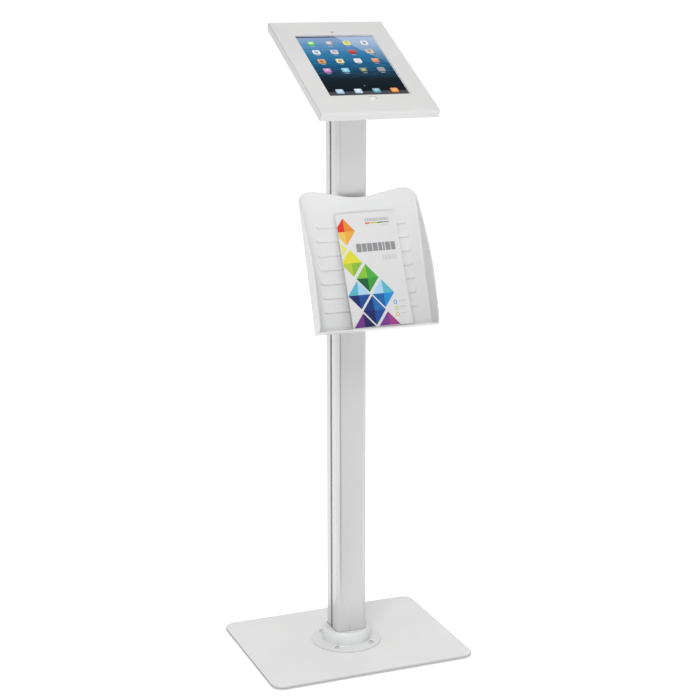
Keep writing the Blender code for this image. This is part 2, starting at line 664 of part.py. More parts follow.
def make_tablet(spin_axis, button_axis):
    rim = GLASS_TOP - GLASS_THICK - GAP
    wall = 1.2 * MM
    floor = 1 * MM
    levels = [(rounded(TABLET[0] - 2 * inset, TABLET[1] - 2 * inset, TABLET_CORNER - inset * 0.6), z)
              for inset, z in ((6 * MM, TABLET_BACK), (2.2 * MM, TABLET_BACK + 0.7 * MM),
                               (0.5 * MM, TABLET_BACK + 2.2 * MM), (0, TABLET_BACK + 4.5 * MM), (0, rim))]
    shell = solid("tablet_shell", loft(levels), "aluminium", spin_axis)
    inside = [(rounded(TABLET[0] - 2 * inset, TABLET[1] - 2 * inset, TABLET_CORNER - wall), z)
              for inset, z in ((6 * MM, TABLET_BACK + floor), (wall + 0.4 * MM, TABLET_BACK + 3.4 * MM),
                               (wall, TABLET_BACK + 4.7 * MM), (wall, rim + 3 * MM))]
    cut(shell, loft(inside))
    base = TABLET_BACK + floor + GAP
    solid("tablet_battery", prism(rounded(118 * MM, 168 * MM, 3 * MM, 3), base, base + 3.4 * MM),
          "cell_black", spin_axis)
    solid("logic_board", prism(rounded(20 * MM, 170 * MM, 2 * MM, 3, (72 * MM, 0)), base, base + 1.6 * MM),
          "circuit_green", spin_axis)
    solid("display_panel", prism(rounded(*PANEL_SIZE, 1.5 * MM, 3), rim - PANEL_THICK, rim), "screen",
          spin_axis)
    glass = solid("front_glass", prism(rounded(*TABLET, TABLET_CORNER), rim + GAP, GLASS_TOP), "glass",
                  spin_axis)
    over = 3 * MM
    cut(glass, together(
        shifted(cylinder(BUTTON_RADIUS + 0.4 * MM, rim - over, GLASS_TOP + over, 32), y=BUTTON_PLACE),
        shifted(cylinder(2.1 * MM + GAP, rim - over, GLASS_TOP + over, 16), y=CAMERA_PLACE)))
    solid("camera_lens", shifted(turned(
        [(0, rim - 1.9 * MM), (2.1 * MM, rim - 1.9 * MM), (2.1 * MM, GLASS_TOP - 0.4 * MM),
         (1.5 * MM, GLASS_TOP - 0.2 * MM), (0, GLASS_TOP - 0.1 * MM)], 16), y=CAMERA_PLACE), "lens", spin_axis)
    solid("home_button", shifted(turned(
        [(0, rim - 2.4 * MM), (4.2 * MM, rim - 2.4 * MM), (BUTTON_RADIUS, rim - 1.6 * MM),
         (BUTTON_RADIUS, GLASS_TOP - 0.3 * MM), (5.2 * MM, GLASS_TOP - 0.05 * MM),
         (4.6 * MM, GLASS_TOP - 0.1 * MM), (2.4 * MM, GLASS_TOP - 0.35 * MM), (0, GLASS_TOP - 0.45 * MM)],
        32), y=BUTTON_PLACE), "white_plastic", button_axis)


def make_corner_pads(spin_axis):
    """Rubber corners on the tray's floor: a shelf under the tablet and an L-shaped wall beside it."""
    half_x, half_y = TABLET[0] / 2 + GAP, TABLET[1] / 2 + GAP
    low = BACK + SHEET + GAP
    under, beside = 14 * MM, 11 * MM
    for number, (side, end) in enumerate(((-1, -1), (1, -1), (-1, 1), (1, 1)), 1):
        xs = sorted((side * (half_x - under), side * (half_x + beside)))
        ys = sorted((end * (half_y - under), end * (half_y + beside)))
        pad = solid(f"corner_pad_{number}", box((xs[0], ys[0], low), (xs[1], ys[1], low + 8 * MM)),
                    "black_rubber", spin_axis)
        xs = sorted((side * (half_x - under - 5 * MM), side * half_x))
        ys = sorted((end * (half_y - under - 5 * MM), end * half_y))
        cut(pad, box((xs[0], ys[0], TABLET_BACK - GAP), (xs[1], ys[1], low + 12 * MM)))


# ---------------------------------------------------------------- holder


def holder_top(x):
    """Height of the back panel's wavy top edge."""
    hump = HOLDER_HUMP * (1 - math.cos(math.pi * min(abs(x) / HUMP_PLACE, 1))) / 2
    fall = max(0.0, abs(x) - HUMP_PLACE) / (HOLDER_HALF - HUMP_PLACE)
    return HOLDER_TOP + hump - 8 * MM * fall * fall


def wing_depth(height):
    """How far a side wing stands out of the panel: widest a third of the way up, nothing at the top."""
    end = HOLDER_TOP + 8 * MM
    if height >= WING_FULL:
        part = (height - WING_FULL) / (end - WING_FULL)
        return max(1.5 * MM, WING_DEPTH * (1 - part ** 1.6))
    part = 1 - height / WING_FULL
    round_off = max(0.0, 1 - height / (12 * MM))
    return WING_DEPTH - 4 * MM * part * part - 4 * MM * round_off * round_off


def fold_point(depth, offset):
    """Across and out for a point on the fold or the wing, offset to the outer surface."""
    centre = HOLDER_HALF - HOLDER_FOLD
    if depth < HOLDER_FOLD:
        angle = math.acos(1 - depth / HOLDER_FOLD)
        reach = HOLDER_FOLD + offset
        return centre + reach * math.sin(angle), HOLDER_FOLD - reach * math.cos(angle)
    lean = math.hypot(1, WING_SPLAY)
    return (HOLDER_HALF + WING_SPLAY * (depth - HOLDER_FOLD) + offset / lean,
            depth - offset * WING_SPLAY / lean)


def holder_sheet():
    """The panel with its two wings, as one sheet with an inner and an outer surface."""
    rows = 14
    low = 0.2 * MM - FLOOR_THICK
    flat_columns, wing_columns = 14, 7
    flat_half = HOLDER_HALF - HOLDER_FOLD
    bm = bmesh.new()

    def point(column, row, offset):
        up = row / rows
        if abs(column) <= flat_columns // 2:
            x = flat_half * column / (flat_columns // 2)
            return (x, offset, low + (holder_top(x) - low) * up)
        part = (abs(column) - flat_columns // 2) / wing_columns
        top = holder_top(flat_half + (HOLDER_HALF - flat_half) * part)
        z = low + (top - low) * up
        x, out = fold_point(wing_depth(max(z, 0)) * part ** 1.3, offset)
        return (math.copysign(x, column), -out, z)

    last = flat_columns // 2 + wing_columns
    columns = range(-last, last + 1)
    faces = []
    for offset in (0.0, HOLDER_WALL):
        faces.append([[bm.verts.new(point(c, r, offset)) for c in columns] for r in range(rows + 1)])
    for grid in faces:
        for r in range(rows):
            for c in range(len(grid[0]) - 1):
                bm.faces.new((grid[r][c], grid[r][c + 1], grid[r + 1][c + 1], grid[r + 1][c]))
    edge = [(0, c) for c in range(len(columns))] + [(r, len(columns) - 1) for r in range(1, rows + 1)]
    edge += [(rows, c) for c in range(len(columns) - 2, -1, -1)] + [(r, 0) for r in range(rows - 1, 0, -1)]
    for here, there in zip(edge, edge[1:] + edge[:1]):
        front, back = faces
        bm.faces.new((front[here[0]][here[1]], front[there[0]][there[1]],
                      back[there[0]][there[1]], back[here[0]][here[1]]))
    bmesh.ops.recalc_face_normals(bm, faces=bm.faces)
    return bm


def make_holder(holder_frame):
    holder = solid("leaflet_holder", holder_sheet(), "white_plastic", holder_frame)
    half = HOLDER_HALF + 1.2 * MM
    floor = [(-half, 1.2 * MM), (half, 1.2 * MM)][::-1]
    floor += arc((-half + 6 * MM, -FLOOR_DEPTH + 6 * MM), 6 * MM, 180, 270, 4)
    floor += arc((half - 6 * MM, -FLOOR_DEPTH + 6 * MM), 6 * MM, 270, 360, 4)
    join(holder, prism(floor, -FLOOR_THICK, 0))
    x, z = HOLDER_SCREW_PLACE
    cut(holder, together(*[shifted(facing(cylinder(2.8 * MM, -6 * MM, 6 * MM, 12)), side * x, z=z)
                           for side in (-1, 1)]))
    for name, side in (("holder_screw_left", -1), ("holder_screw_right", 1)):
        screw = facing(pan_screw(2.5 * MM, 11 * MM, 4.5 * MM, 2.6 * MM))
        solid(name, shifted(screw, side * x, -GAP, z), "zinc_steel", holder_frame)


def facing(bm):
    """Turns a shape so that its Z points out of the panel, along -Y."""
    return moved(bm, Matrix.Rotation(math.pi / 2, 4, "X"))


def make_leaflets(leaflet_axis):
    width, thick, height = LEAFLET
    bundle = box((-width / 2, -thick, 0), (width / 2, 0, height))
    bundle = moved(bundle, Matrix.Rotation(-LEAFLET_LEAN, 4, "X") @ Matrix.Rotation(LEAFLET_TURN, 4, "Y"))
    solid("leaflet_stack", shifted(bundle, *LEAFLET_PLACE), "paper", leaflet_axis)


def panel_back(height, behind):
    """Side view, in the stand's frame, of a place up the holder's panel and behind its back."""
    out = -(HOLDER_WALL + behind)
    sin, cos = math.sin(HOLDER_LEAN), math.cos(HOLDER_LEAN)
    return (HOLDER_FOOT[0] + height * sin - out * cos, HOLDER_FOOT[1] + height * cos + out * sin)


def make_bracket(rail):
    """Folded sheet: a web behind the holder's panel and a cheek on each side of the pole."""
    front_low = panel_back(BRACKET_SPAN[0], GAP)
    front_high = panel_back(BRACKET_SPAN[1], GAP)
    outline = [front_low, (BRACKET_REAR, front_low[1] + 6 * MM), (BRACKET_REAR, front_high[1]), front_high]
    outer = BRACKET_INNER + BRACKET_SHEET
    bracket = solid("holder_bracket", across(prism(outline, -outer, outer)), "white_coat", rail)
    over = 20 * MM
    web_back = GAP + BRACKET_SHEET
    inner = [panel_back(BRACKET_SPAN[0] - over, web_back), (BRACKET_REAR + over, front_low[1] - over),
             (BRACKET_REAR + over, front_high[1] + over), panel_back(BRACKET_SPAN[1] + over, web_back)]
    cut(bracket, across(prism(inner, -BRACKET_INNER, BRACKET_INNER)))
    rail_hole = shifted(across(cylinder(RAIL_SCREW_RADIUS + 2 * GAP, -50 * MM, 50 * MM, 16)), z=RAIL_HEIGHT)
    x, z = HOLDER_SCREW_PLACE
    turn = Matrix.Translation((0, *HOLDER_FOOT)) @ Matrix.Rotation(-HOLDER_LEAN, 4, "X")
    screw_holes = [moved(shifted(facing(cylinder(2.8 * MM, -9 * MM, 3 * MM, 12)), side * x, z=z), turn)
                   for side in (-1, 1)]
    cut(bracket, together(rail_hole, *screw_holes))
    for name, side in (("left", -1), ("right", 1)):
        make_rail_clamp(name, side, outer, rail)


def make_rail_clamp(name, side, cheek, rail):
    """A screw through the cheek into a T-nut in the pole's slot."""
    inner_x = POLE_SIZE[0] / 2 - POLE_WALL
    nut_out, nut_in = inner_x - 0.4 * MM, inner_x - CHANNEL_DEPTH + 0.4 * MM
    half_width, half_height = CHANNEL_WIDTH / 2 - GAP, 11 * MM
    xs = sorted((side * nut_in, side * nut_out))
    slug = solid(f"t_nut_{name}", box((xs[0], -half_width, RAIL_HEIGHT - half_height),
                                      (xs[1], half_width, RAIL_HEIGHT + half_height)), "zinc_steel", rail)
    cut(slug, shifted(across(cylinder(RAIL_SCREW_RADIUS + GAP, -40 * MM, 40 * MM, 16)), z=RAIL_HEIGHT))
    head = cheek + GAP
    screw = pan_screw(RAIL_SCREW_RADIUS, head - nut_in - 0.6 * MM, 5.5 * MM, 3.3 * MM)
    screw = shifted(across(shifted(screw, z=head)), z=RAIL_HEIGHT)
    if side < 0:
        screw = moved(screw, Matrix.Rotation(math.pi, 4, "Z"))
    bolt = solid(f"rail_screw_{name}", screw, "zinc_steel", rail)
    low, high = sorted((side * (head + 1.6 * MM), side * (head + 6 * MM)))
    cut(bolt, shifted(across(prism(circle(2 * MM, 6), low, high)), z=RAIL_HEIGHT))


# ---------------------------------------------------------------- assembly


def main():
    clear_scene()
    make_base()
    make_pole()
    make_outlet_plug()
    make_collar()
    make_head_base()
    make_tilt_axle()

    tilt_axis = axis_empty("tilt_axis", (0, 0, PIVOT_HEIGHT), rotation_x=FACE_TILT)
    make_tilt_knuckle(tilt_axis)

    spin_axis = axis_empty("spin_axis", (0, 0, 0), tilt_axis)
    cover_axis = axis_empty("cover_axis", (0, *HINGE_PLACE), spin_axis)
    lock_axis = axis_empty("lock_axis", (0, LOCK_PLACE, BACK), spin_axis)
    button_axis = axis_empty("button_axis", (0, BUTTON_PLACE, GLASS_TOP), spin_axis)
    make_rear_tray(spin_axis)
    make_front_cover(cover_axis)
    make_lock_catch(cover_axis)
    make_lock(spin_axis, lock_axis)
    make_tablet(spin_axis, button_axis)
    make_corner_pads(spin_axis)

    rail = axis_empty("holder_rail", (0, 0, 0))
    holder_frame = axis_empty("holder_frame", (0, *HOLDER_FOOT), rotation_x=-HOLDER_LEAN)
    leaflet_axis = axis_empty("leaflet_axis", LEAFLET_PLACE, holder_frame)
    make_bracket(rail)
    make_holder(holder_frame)
    make_leaflets(leaflet_axis)


main()
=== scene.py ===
"""Looks for the tablet floor stand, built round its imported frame.

Metres, in the frame's own axes: +Z up, and the screen faces -Y.
"""

import json
import math
import random

import bmesh
import bpy
from mathutils import Matrix, Vector


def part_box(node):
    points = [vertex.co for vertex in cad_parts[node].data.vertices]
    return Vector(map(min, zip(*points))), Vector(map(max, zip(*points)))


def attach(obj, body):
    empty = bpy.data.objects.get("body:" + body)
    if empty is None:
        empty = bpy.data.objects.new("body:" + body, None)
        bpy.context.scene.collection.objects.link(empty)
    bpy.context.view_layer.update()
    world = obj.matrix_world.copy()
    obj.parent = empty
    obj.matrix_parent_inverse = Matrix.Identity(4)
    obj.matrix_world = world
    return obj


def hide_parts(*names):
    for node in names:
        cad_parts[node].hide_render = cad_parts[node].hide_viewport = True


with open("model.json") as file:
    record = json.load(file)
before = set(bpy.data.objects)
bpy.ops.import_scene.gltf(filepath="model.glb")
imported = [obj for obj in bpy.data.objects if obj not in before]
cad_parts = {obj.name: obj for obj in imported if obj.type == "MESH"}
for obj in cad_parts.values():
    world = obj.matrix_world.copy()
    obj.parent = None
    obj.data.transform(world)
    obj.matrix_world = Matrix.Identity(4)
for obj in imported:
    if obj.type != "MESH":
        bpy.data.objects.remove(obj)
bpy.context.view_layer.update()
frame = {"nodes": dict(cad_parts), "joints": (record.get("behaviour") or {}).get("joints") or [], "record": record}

MM = 0.001

RECORD = frame["record"]
BODY = {node: body for body, nodes in RECORD["behaviour"]["bodies"].items() for node in nodes}
SLOT = {row["node"]: row["material_slot"] for row in RECORD["subparts"]}
JOINT = {joint["name"]: joint for joint in frame["joints"]}


def axes(x, y, z, origin):
    """A frame's matrix from its axes and its origin."""
    return Matrix.Translation(origin) @ Matrix((x, y, z)).transposed().to_4x4()


# The head's frame: X across, Y up the face, Z out of the face, from the tilt axis
FACE_NORMAL = Vector(JOINT["display_spin"]["axis"]).normalized()
HEAD = axes(Vector((1, 0, 0)), FACE_NORMAL.cross(Vector((1, 0, 0))), FACE_NORMAL,
            Vector(JOINT["head_tilt"]["pos_m"]))

# The leaflet holder's frame: X across, -Y out of the panel, Z up the panel, from the panel's foot
HOLDER_FOOT = (0, -136 * MM, 648.5 * MM)
HOLDER_LEAN = math.radians(19.6)
HOLDER = Matrix.Translation(HOLDER_FOOT) @ Matrix.Rotation(-HOLDER_LEAN, 4, "X")


# ---- camera, light and floor


CAMERA_PLACE = (-1.0447, -2.6257, 1.2558)
CAMERA_DIP = 0.2345
CAMERA_TURN = -0.3812
LENS = 80.91

# The studio's light, its loss at the sides and gain above, and the white behind
SKY_LIGHT = 0.68
SIDE_LOSS = 0.46
TOP_GAIN = 0.06
BACKDROP = 1.05

# A painted dark patch on the floor, seen in reflections and bounced light only: its middle and half width, as X
# over Y seen from the pole, and how dark it is
PAINTED_SHADE_PLACE = 0.11
PAINTED_SHADE_HALF = 0.38
PAINTED_SHADE_DEPTH = 0.92
FLOOR_GLOW = 0.5
PLATE_CORNER = 22 * MM
# How far the painted shadow under the plate stops short of its edge, and how far past the edge the painted shade
# on the floor reaches
UNDER_EDGE = 3 * MM
NEAR_EDGE = 50 * MM


def make_camera():
    data = bpy.data.cameras.new("camera")
    data.lens = LENS
    camera = bpy.data.objects.new("camera", data)
    bpy.context.scene.collection.objects.link(camera)
    camera.location = CAMERA_PLACE
    camera.rotation_euler = (math.pi / 2 - CAMERA_DIP, 0, CAMERA_TURN)
    bpy.context.scene.camera = camera


def softbox(name, place, target, size, power, spread=180, mirrored=True):
    """A rectangular lamp. Unless it is mirrored, it shows in no reflection."""
    data = bpy.data.lights.new(name, "AREA")
    data.shape = "RECTANGLE"
    data.size, data.size_y = size
    data.energy = power
    data.spread = math.radians(spread)
    light = bpy.data.objects.new(name, data)
    bpy.context.scene.collection.objects.link(light)
    light.location = place
    light.visible_glossy = mirrored
    away = Vector(place) - Vector(target)
    light.rotation_euler = away.to_track_quat("Z", "Y").to_euler()


def make_world():
    """White where the camera sees it. Its light is darker to the left and the right."""
    world = bpy.data.worlds.new("studio")
    bpy.context.scene.world = world
    world.use_nodes = True
    nodes = Nodes(world.node_tree)
    background = world.node_tree.nodes["Background"]
    x, _, z = nodes.split(nodes.node("ShaderNodeTexCoord").outputs["Generated"])
    side = abs(x).smooth(0.72, 0.97) * (1 - z.smooth(0.15, 0.7))
    light = SKY_LIGHT - side * SIDE_LOSS + z.smooth(0.2, 1) * TOP_GAIN
    seen = nodes.value(nodes.node("ShaderNodeLightPath").outputs["Is Camera Ray"])
    nodes.feed(background.inputs["Strength"], light + seen * (BACKDROP - light))
    background.inputs["Color"].default_value = (1, 1, 1, 1)


def make_floor():
    """Plain white where the camera sees it, but for a painted shadow just inside the plate's edge. Other rays see
    painted shade near the plate and a painted dark patch in front.
    """
    bpy.ops.mesh.primitive_plane_add(size=40)
    floor = bpy.context.object
    floor.name = "floor"
    finish = Finish("floor_paper", roughness=0.9, specular_ior_level=0.1,
                    emission_color=(1, 1, 1, 1))
    x, y, _ = finish.split(finish.place)
    # Painted shade: a dark patch on the floor in front of the stand, for every ray but the camera's
    painted_shade_patch = abs(x / y - PAINTED_SHADE_PLACE).below(PAINTED_SHADE_HALF, PAINTED_SHADE_HALF)
    painted_shade_patch = painted_shade_patch * (-1 * y).smooth(0.2, 0.5) * PAINTED_SHADE_DEPTH
    # Painted shadow: for the camera the floor is dark just inside the plate's edge, and for other rays its colour
    # and glow are painted darker near the plate
    _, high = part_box("base_plate")
    past_x = (abs(x) - (high.x - PLATE_CORNER)).most(0)
    past_y = (abs(y) - (high.y - PLATE_CORNER)).most(0)
    away = (past_x * past_x + past_y * past_y).root() - PLATE_CORNER
    seen = finish.value(finish.node("ShaderNodeLightPath").outputs["Is Camera Ray"])
    unseen = (1 - seen) * away.smooth(0, NEAR_EDGE) * (1 - painted_shade_patch)
    lit = seen * away.smooth(-PLATE_CORNER, -UNDER_EDGE) + unseen
    finish.base(finish.mix(lit, (0.02, 0.02, 0.02), (0.87, 0.87, 0.87)))
    finish.feed(finish.shader.inputs["Emission Strength"], lit * FLOOR_GLOW)
    floor.data.materials.append(finish.material)


# ---- material nodes


class Value:
    """A number in a material. Sums on it add Math nodes."""

    def __init__(self, nodes, socket):
        self.nodes, self.socket = nodes, socket

    def sum(self, operation, *others):
        node = self.nodes.node("ShaderNodeMath", operation=operation)
        for socket, other in zip(node.inputs, (self, *others)):
            self.nodes.feed(socket, other)
        return Value(self.nodes, node.outputs[0])

    def __add__(self, other): return self.sum("ADD", other)
    def __sub__(self, other): return self.sum("SUBTRACT", other)
    def __rsub__(self, other): return (self * -1).sum("ADD", other)
    def __mul__(self, other): return self.sum("MULTIPLY", other)
    def __truediv__(self, other): return self.sum("DIVIDE", other)
    def __abs__(self): return self.sum("ABSOLUTE")
    def least(self, other): return self.sum("MINIMUM", other)
    def most(self, other): return self.sum("MAXIMUM", other)
    def root(self): return self.sum("SQRT")
    __radd__, __rmul__ = __add__, __mul__

    def smooth(self, low, high):
        """0 below low, 1 above high, with a smooth step between them."""
        node = self.nodes.node(
            "ShaderNodeMapRange", {"Value": self, "From Min": low, "From Max": high},
            interpolation_type="SMOOTHSTEP")
        return Value(self.nodes, node.outputs["Result"])

    def below(self, limit, soft):
        """1 below the limit, 0 above it, with a smooth step of a width."""
        return 1 - self.smooth(limit - soft / 2, limit + soft / 2)


class Nodes:
    """Adds nodes to a node tree."""

    def __init__(self, tree):
        self.tree = tree

    def node(self, kind, feeds=None, **settings):
        """Adds a node. feeds are its inputs by name, and settings are its own properties."""
        node = self.tree.nodes.new(kind)
        for name, value in settings.items():
            setattr(node, name, value)
        for name, value in (feeds or {}).items():
            self.feed(node.inputs[name], value)
        return node

    def feed(self, socket, value):
        if isinstance(value, Value):
            self.tree.links.new(value.socket, socket)
        elif isinstance(value, bpy.types.NodeSocket):
            self.tree.links.new(value, socket)
        else:
            socket.default_value = value

    def value(self, socket):
        return Value(self, socket)

    def split(self, vector):
        node = self.node("ShaderNodeSeparateXYZ", {"Vector": vector})
        return [Value(self, socket) for socket in node.outputs]

    def ramp(self, value, stops, constant=False):
        """A colour from a list of (place, colour)."""
        node = self.node("ShaderNodeValToRGB")
        ramp = node.color_ramp
        ramp.interpolation = "CONSTANT" if constant else "LINEAR"
        while len(ramp.elements) < len(stops):
            ramp.elements.new(1)
        for element, (place, colour) in zip(ramp.elements, stops):
            element.position = place
            element.color = (*colour, 1)
        self.feed(node.inputs[0], value)
        return node.outputs["Color"]

    def mix(self, share, first, second):
        """The second colour over the first, by share."""
        node = self.node("ShaderNodeMix", data_type="RGBA")
        self.feed(node.inputs[0], share)
        for socket, colour in ((node.inputs[6], first), (node.inputs[7], second)):
            self.feed(socket, (*colour, 1) if isinstance(colour, tuple) else colour)
        return node.outputs[2]


class Finish(Nodes):
    """A material whose colour, roughness and bump come from nodes on the piece's own axes."""

    def __init__(self, name, **shader):
        self.material = bpy.data.materials.new(name)
        self.material.use_nodes = True
        super().__init__(self.material.node_tree)
        self.shader = self.tree.nodes["Principled BSDF"]
        names = {socket.name.lower().replace(" ", "_"): socket for socket in self.shader.inputs}
        for key, value in shader.items():
            names[key].default_value = value
        self.place = self.node("ShaderNodeTexCoord").outputs["Object"]

    def stretched(self, stretch, frame_matrix=None):
        """The piece's coordinates, in another frame if given, each multiplied by a number."""
        vector = self.place
        if frame_matrix is not None:
            feeds = {"Location": frame_matrix.translation, "Rotation": frame_matrix.to_euler(),
                     "Vector": vector}
            vector = self.node("ShaderNodeMapping", feeds, vector_type="TEXTURE").outputs[0]
        return self.node("ShaderNodeMapping", {"Scale": stretch, "Vector": vector}).outputs[0]

    def noise(self, scale, detail, stretch=None, frame_matrix=None):
        source = self.stretched(stretch, frame_matrix) if stretch else self.place
        feeds = {"Scale": scale, "Detail": detail, "Vector": source}
        return self.value(self.node("ShaderNodeTexNoise", feeds).outputs[0])

    def base(self, colour):
        self.feed(self.shader.inputs["Base Color"], colour)

    def colour(self, low, high, value):
        self.base(self.ramp(value, [(0.3, low), (0.7, high)]))

    def roughness(self, low, high, value):
        spread = value.smooth(0.25, 0.75) * (high - low) + low
        self.feed(self.shader.inputs["Roughness"], spread)

    def bump(self, value, depth):
        node = self.node("ShaderNodeBump", {"Strength": 1.0, "Distance": depth, "Height": value})
        self.feed(self.shader.inputs["Normal"], node.outputs[0])


def tinted(colour, share):
    return tuple(min(1.0, part * share) for part in colour)


def powder_coat(name, colour, roughness):
    """Baked powder: a fine orange peel, with faint clouds in its colour and gloss."""
    finish = Finish(name, ior=1.5, coat_weight=0.15, coat_roughness=0.2)
    finish.colour(tinted(colour, 0.975), tinted(colour, 1.015), finish.noise(7, 3))
    finish.roughness(roughness - 0.05, roughness + 0.06, finish.noise(60, 3))
    peel = finish.noise(620, 2) + finish.noise(1700, 1) * 0.35
    finish.bump(peel, 0.014 * MM)
    return finish.material


def drawn_coat(name, colour, roughness):
    """A satin coat on an extrusion: faint die lines run up it."""
    finish = Finish(name, ior=1.5, coat_weight=0.25, coat_roughness=0.16, metallic=0.42)
    lines = finish.noise(1, 2, (80, 80, 0.8))
    finish.colour(tinted(colour, 0.992), tinted(colour, 1.006), lines)
    finish.roughness(roughness - 0.008, roughness + 0.012, finish.noise(1, 2, (40, 40, 1)))
    finish.bump(finish.noise(1, 2, (150, 150, 2)), 0.0002 * MM)
    return finish.material


def moulded(name, colour, roughness, grain, depth, gloss=0.0):
    """Injection-moulded plastic: a fine spark grain and soft flow clouds."""
    finish = Finish(name, ior=1.49, coat_weight=gloss, coat_roughness=0.12)
    finish.colour(tinted(colour, 0.975), tinted(colour, 1.02), finish.noise(11, 3))
    finish.roughness(roughness - 0.04, roughness + 0.06, finish.noise(90, 2))
    finish.bump(finish.noise(grain, 2), depth)
    return finish.material


def plated(name, colour, roughness, stretch=(900, 60, 900)):
    """Plated or bare metal with fine scratches and a little cloudiness."""
    finish = Finish(name, metallic=1.0)
    scratches = finish.noise(1, 3, stretch)
    finish.colour(tinted(colour, 0.88), tinted(colour, 1.05), finish.noise(120, 4))
    finish.roughness(roughness - 0.07, roughness + 0.12, scratches)
    finish.bump(scratches, 0.006 * MM)
    return finish.material


def rubber(name):
    """Dull black rubber with a fine skin."""
    finish = Finish(name, ior=1.5)
    finish.colour((0.022, 0.022, 0.024), (0.036, 0.036, 0.037), finish.noise(140, 4))
    finish.roughness(0.66, 0.88, finish.noise(300, 3))
    finish.bump(finish.noise(900, 3), 0.03 * MM)
    return finish.material


def paper(name, colour):
    """Coated paper: a light sheen over fine fibres."""
    finish = Finish(name, ior=1.45, coat_weight=0.25, coat_roughness=0.25)
    finish.colour(tinted(colour, 0.985), tinted(colour, 1.01), finish.noise(260, 4))
    finish.roughness(0.42, 0.55, finish.noise(500, 3))
    finish.bump(finish.noise(1, 3, (900, 900, 500)), 0.006 * MM)
    return finish.material


def circuit_board(name):
    """Green lacquer over fine traces, with pads."""
    finish = Finish(name, ior=1.5, roughness=0.35, coat_weight=0.4)
    cells = finish.node("ShaderNodeTexVoronoi", {"Scale": 260, "Vector": finish.place},
                        feature="F1", distance="CHEBYCHEV")
    pads = finish.value(cells.outputs["Distance"]).below(0.16, 0.03)
    lines = finish.noise(1, 0, (900, 60, 60)).smooth(0.48, 0.52) * 0.5
    green = finish.mix(lines, (0.006, 0.055, 0.022), (0.014, 0.11, 0.045))
    finish.base(finish.mix(pads, green, (0.62, 0.52, 0.3)))
    finish.bump(pads + lines, 0.03 * MM)
    return finish.material


INK_DEPTH = 0.2


def printed(name):
    """Offset ink: its colour comes from the mesh, with a light sheen."""
    finish = Finish(name, ior=1.45, specular_ior_level=0.25)
    ink = finish.node("ShaderNodeAttribute", attribute_name="ink").outputs["Color"]
    grain = finish.noise(900, 2).smooth(0.3, 0.7) * 0.012
    deep = finish.mix(INK_DEPTH, ink, (0.0, 0.0, 0.0))
    finish.base(finish.mix(grain, deep, (1.0, 1.0, 1.0)))
    finish.roughness(0.4, 0.54, finish.noise(400, 2))
    return finish.material


def camera_glass(name):
    """A coated lens, nearly black."""
    finish = Finish(name, ior=1.6, roughness=0.05, coat_weight=1.0, coat_roughness=0.02)
    finish.colour((0.004, 0.004, 0.01), (0.02, 0.014, 0.035), finish.noise(700, 1))
    return finish.material


# ---- screen picture

SCREEN = (147.8 * MM, 197.1 * MM)
ICON = 14.0 * MM
ICON_CORNER = 2.6 * MM
ICON_COLUMNS = (-51.2 * MM, -17.2 * MM, 16.7 * MM, 50.4 * MM)
ICON_ROWS = (74.5 * MM, 45.0 * MM, 14.6 * MM, -15.8 * MM)
DOCK_ICONS = -83.5 * MM
DOCK_TOP = -84.5 * MM
PAGE_DOT = -67.2 * MM
STATUS_STRIP = 4.0 * MM
EDGE_BLUR = 0.3 * MM
# Each icon's field and its mark
ICONS = [
    ((0.07, 0.55, 0.08), (0.8, 0.92, 0.8)), ((0.32, 0.36, 0.38), (0.78, 0.8, 0.8)),
    ((0.8, 0.76, 0.25), (0.55, 0.5, 0.1)), ((0.82, 0.84, 0.86), (0.22, 0.24, 0.28)),
    ((0.8, 0.84, 0.84), (0.18, 0.4, 0.45)), ((0.62, 0.64, 0.65), (0.4, 0.42, 0.44)),
    ((0.42, 0.02, 0.02), (0.58, 0.1, 0.06)), ((0.66, 0.58, 0.5), (0.5, 0.22, 0.1)),
    ((0.72, 0.36, 0.08), (0.3, 0.12, 0.04)), ((0.8, 0.78, 0.42), (0.45, 0.22, 0.08)),
    ((0.86, 0.8, 0.84), (0.72, 0.6, 0.7)), ((0.6, 0.22, 0.1), (0.75, 0.45, 0.28)),
    ((0.55, 0.16, 0.52), (0.78, 0.5, 0.76)), ((0.16, 0.52, 0.74), (0.5, 0.76, 0.86)),
    ((0.1, 0.12, 0.12), (0.6, 0.62, 0.14)), ((0.26, 0.29, 0.33), (0.52, 0.3, 0.26)),
    ((0.36, 0.55, 0.76), (0.7, 0.82, 0.92)), ((0.5, 0.62, 0.82), (0.84, 0.9, 0.95)),
    ((0.1, 0.32, 0.42), (0.42, 0.72, 0.84)), ((0.8, 0.24, 0.04), (0.92, 0.58, 0.1)),
]


def rounded_box(x, y, half, corner, soft):
    """1 inside a rounded square."""
    over_x = (abs(x) - (half - corner)).most(0)
    over_y = (abs(y) - (half - corner)).most(0)
    return (over_x * over_x + over_y * over_y).root().below(corner, soft)


def nearest(value, places):
    """The distance from the nearest place and that place's number."""
    found, number = value - places[0], None
    for i in range(1, len(places)):
        middle = (places[i] + places[i - 1]) / 2
        past = value.smooth(middle, middle + 1e-6) if places[i] > places[i - 1] else \
            1 - value.smooth(middle - 1e-6, middle)
        found = found - past * (places[i] - places[i - 1])
        number = past if number is None else number + past
    return found, number


